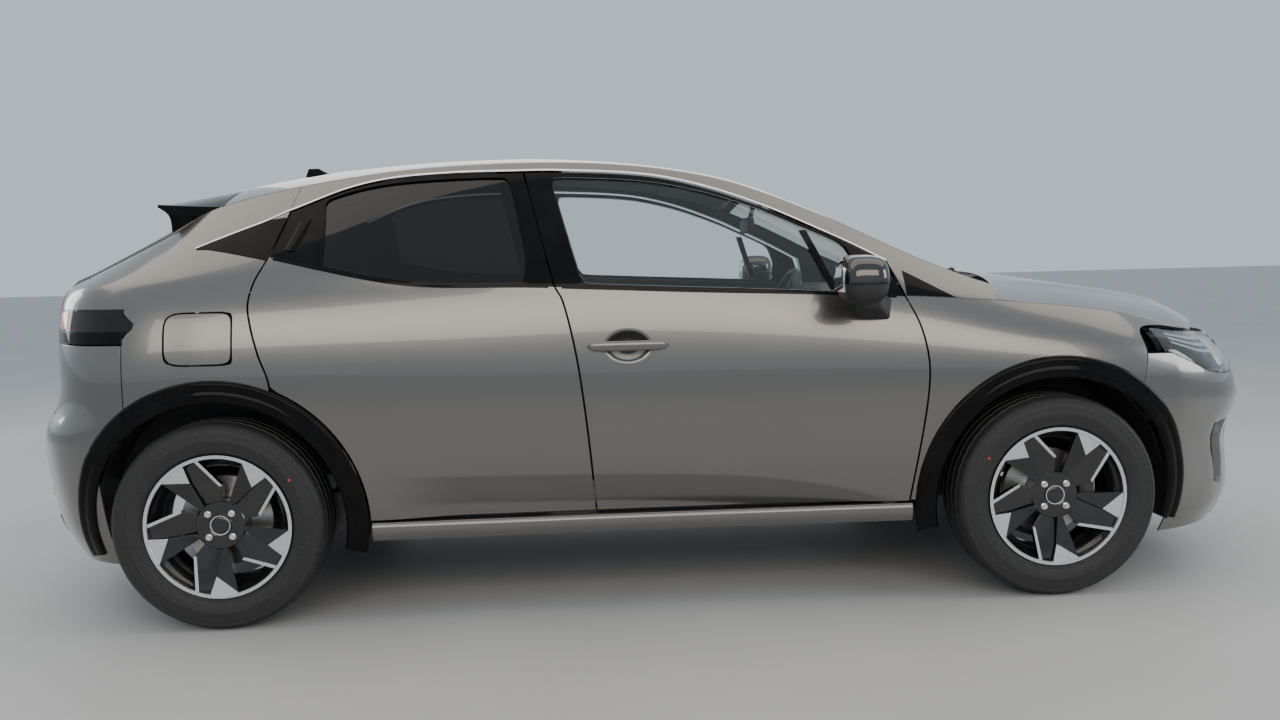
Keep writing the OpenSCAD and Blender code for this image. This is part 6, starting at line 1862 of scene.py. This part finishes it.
@dataclass
class Studio:
    """Pale floor, soft lights and the camera at the photograph's view."""

    eye: tuple[float, float, float] = (-.278, -4.174, 1.110)
    focal: float = 36 * 1100 / 1280
    yaw: float = -3.19
    pitch: float = 5.52
    roll: float = -1.36

    def build(self) -> None:
        """Makes floor, lights and camera."""
        floor = bmesh.new()
        bmesh.ops.create_grid(floor, x_segments=1, y_segments=1, size=40)
        mesh = bpy.data.meshes.new("studio_floor")
        floor.to_mesh(mesh)
        floor.free()
        mesh.materials.append(Finish("pale_floor", "", (.44, .44, .445), (.47, .47, .475), .5, scale=3).material())
        ground = bpy.data.objects.new("studio_floor", mesh)
        bpy.context.scene.collection.objects.link(ground)
        world = bpy.data.worlds.new("studio_air")
        world.use_nodes = True
        world.node_tree.nodes["Background"].inputs["Color"].default_value = (.80, .91, 1.0, 1)
        world.node_tree.nodes["Background"].inputs["Strength"].default_value = .72
        bpy.context.scene.world = world
        self.light("roof_light", (0, -.2, 4.6), (0, -.2, 0), (11, 3.4), 150, (1, .86, .70))
        self.light("near_light", (0, -6.2, 3.4), (0, 0, .8), (9, 2.4), 200, (1, .88, .74))
        self.light("far_light", (0, 6.5, 3.2), (0, 0, .8), (7, 2.2), 50, (1, .92, .84))
        self.light("nose_light", (6.5, -2.0, 2.4), (1.5, 0, .6), (2.4, 2.4), 80, (1, 1, 1))
        self.light("tail_light", (-6.5, 2.5, 2.4), (-1.5, 0, .6), (2.4, 2.4), 60, (1, 1, 1))
        self.camera()

    @staticmethod
    def light(name: str, place: Sequence[float], aim: Sequence[float], size: tuple[float, float], power: float,
              colour: Colour) -> None:
        """Adds an area light that faces a point."""
        data = bpy.data.lights.new(name, "AREA")
        data.shape, data.size, data.size_y = "RECTANGLE", *size
        data.energy, data.color = power, colour
        obj = bpy.data.objects.new(name, data)
        obj.location = place
        obj.rotation_euler = (Vector(aim) - Vector(place)).to_track_quat("-Z", "Y").to_euler()
        bpy.context.scene.collection.objects.link(obj)

    def camera(self) -> None:
        """Sets the camera where the photograph was taken."""
        yaw, pitch, roll = (math.radians(a) for a in (self.yaw, self.pitch, self.roll))
        level = Vector((-math.sin(yaw), math.cos(yaw), 0))
        ahead = level * math.cos(pitch) - Vector((0, 0, 1)) * math.sin(pitch)
        right0 = Vector((math.cos(yaw), math.sin(yaw), 0))
        up0 = right0.cross(ahead)
        right = right0 * math.cos(roll) + up0 * math.sin(roll)
        up = right.cross(ahead)
        data = bpy.data.cameras.new("photo_camera")
        data.lens, data.sensor_width = self.focal, 36
        cam = bpy.data.objects.new("photo_camera", data)
        turn = Matrix((right, up, -ahead)).transposed().to_4x4()
        cam.matrix_world = Matrix.Translation(self.eye) @ turn
        bpy.context.scene.collection.objects.link(cam)
        bpy.context.scene.camera = cam


def main() -> None:
    """Builds the car's sub-assemblies in order."""
    logging.basicConfig(level=logging.INFO, format="%(message)s")
    pieces = [BodySides(), Glasshouse(), FrontEnd(), Tail(), Cabin(), Underside(), Studio()]
    pieces += [Door(side, row) for side in Side for row in Row]
    pieces += [Mirror(side) for side in Side]
    pieces += [Wheel(side, row) for side in Side for row in Row]
    for piece in pieces:
        piece.build()
        LOG.info("built %s", type(piece).__name__)


if __name__ == "__main__":
    main()
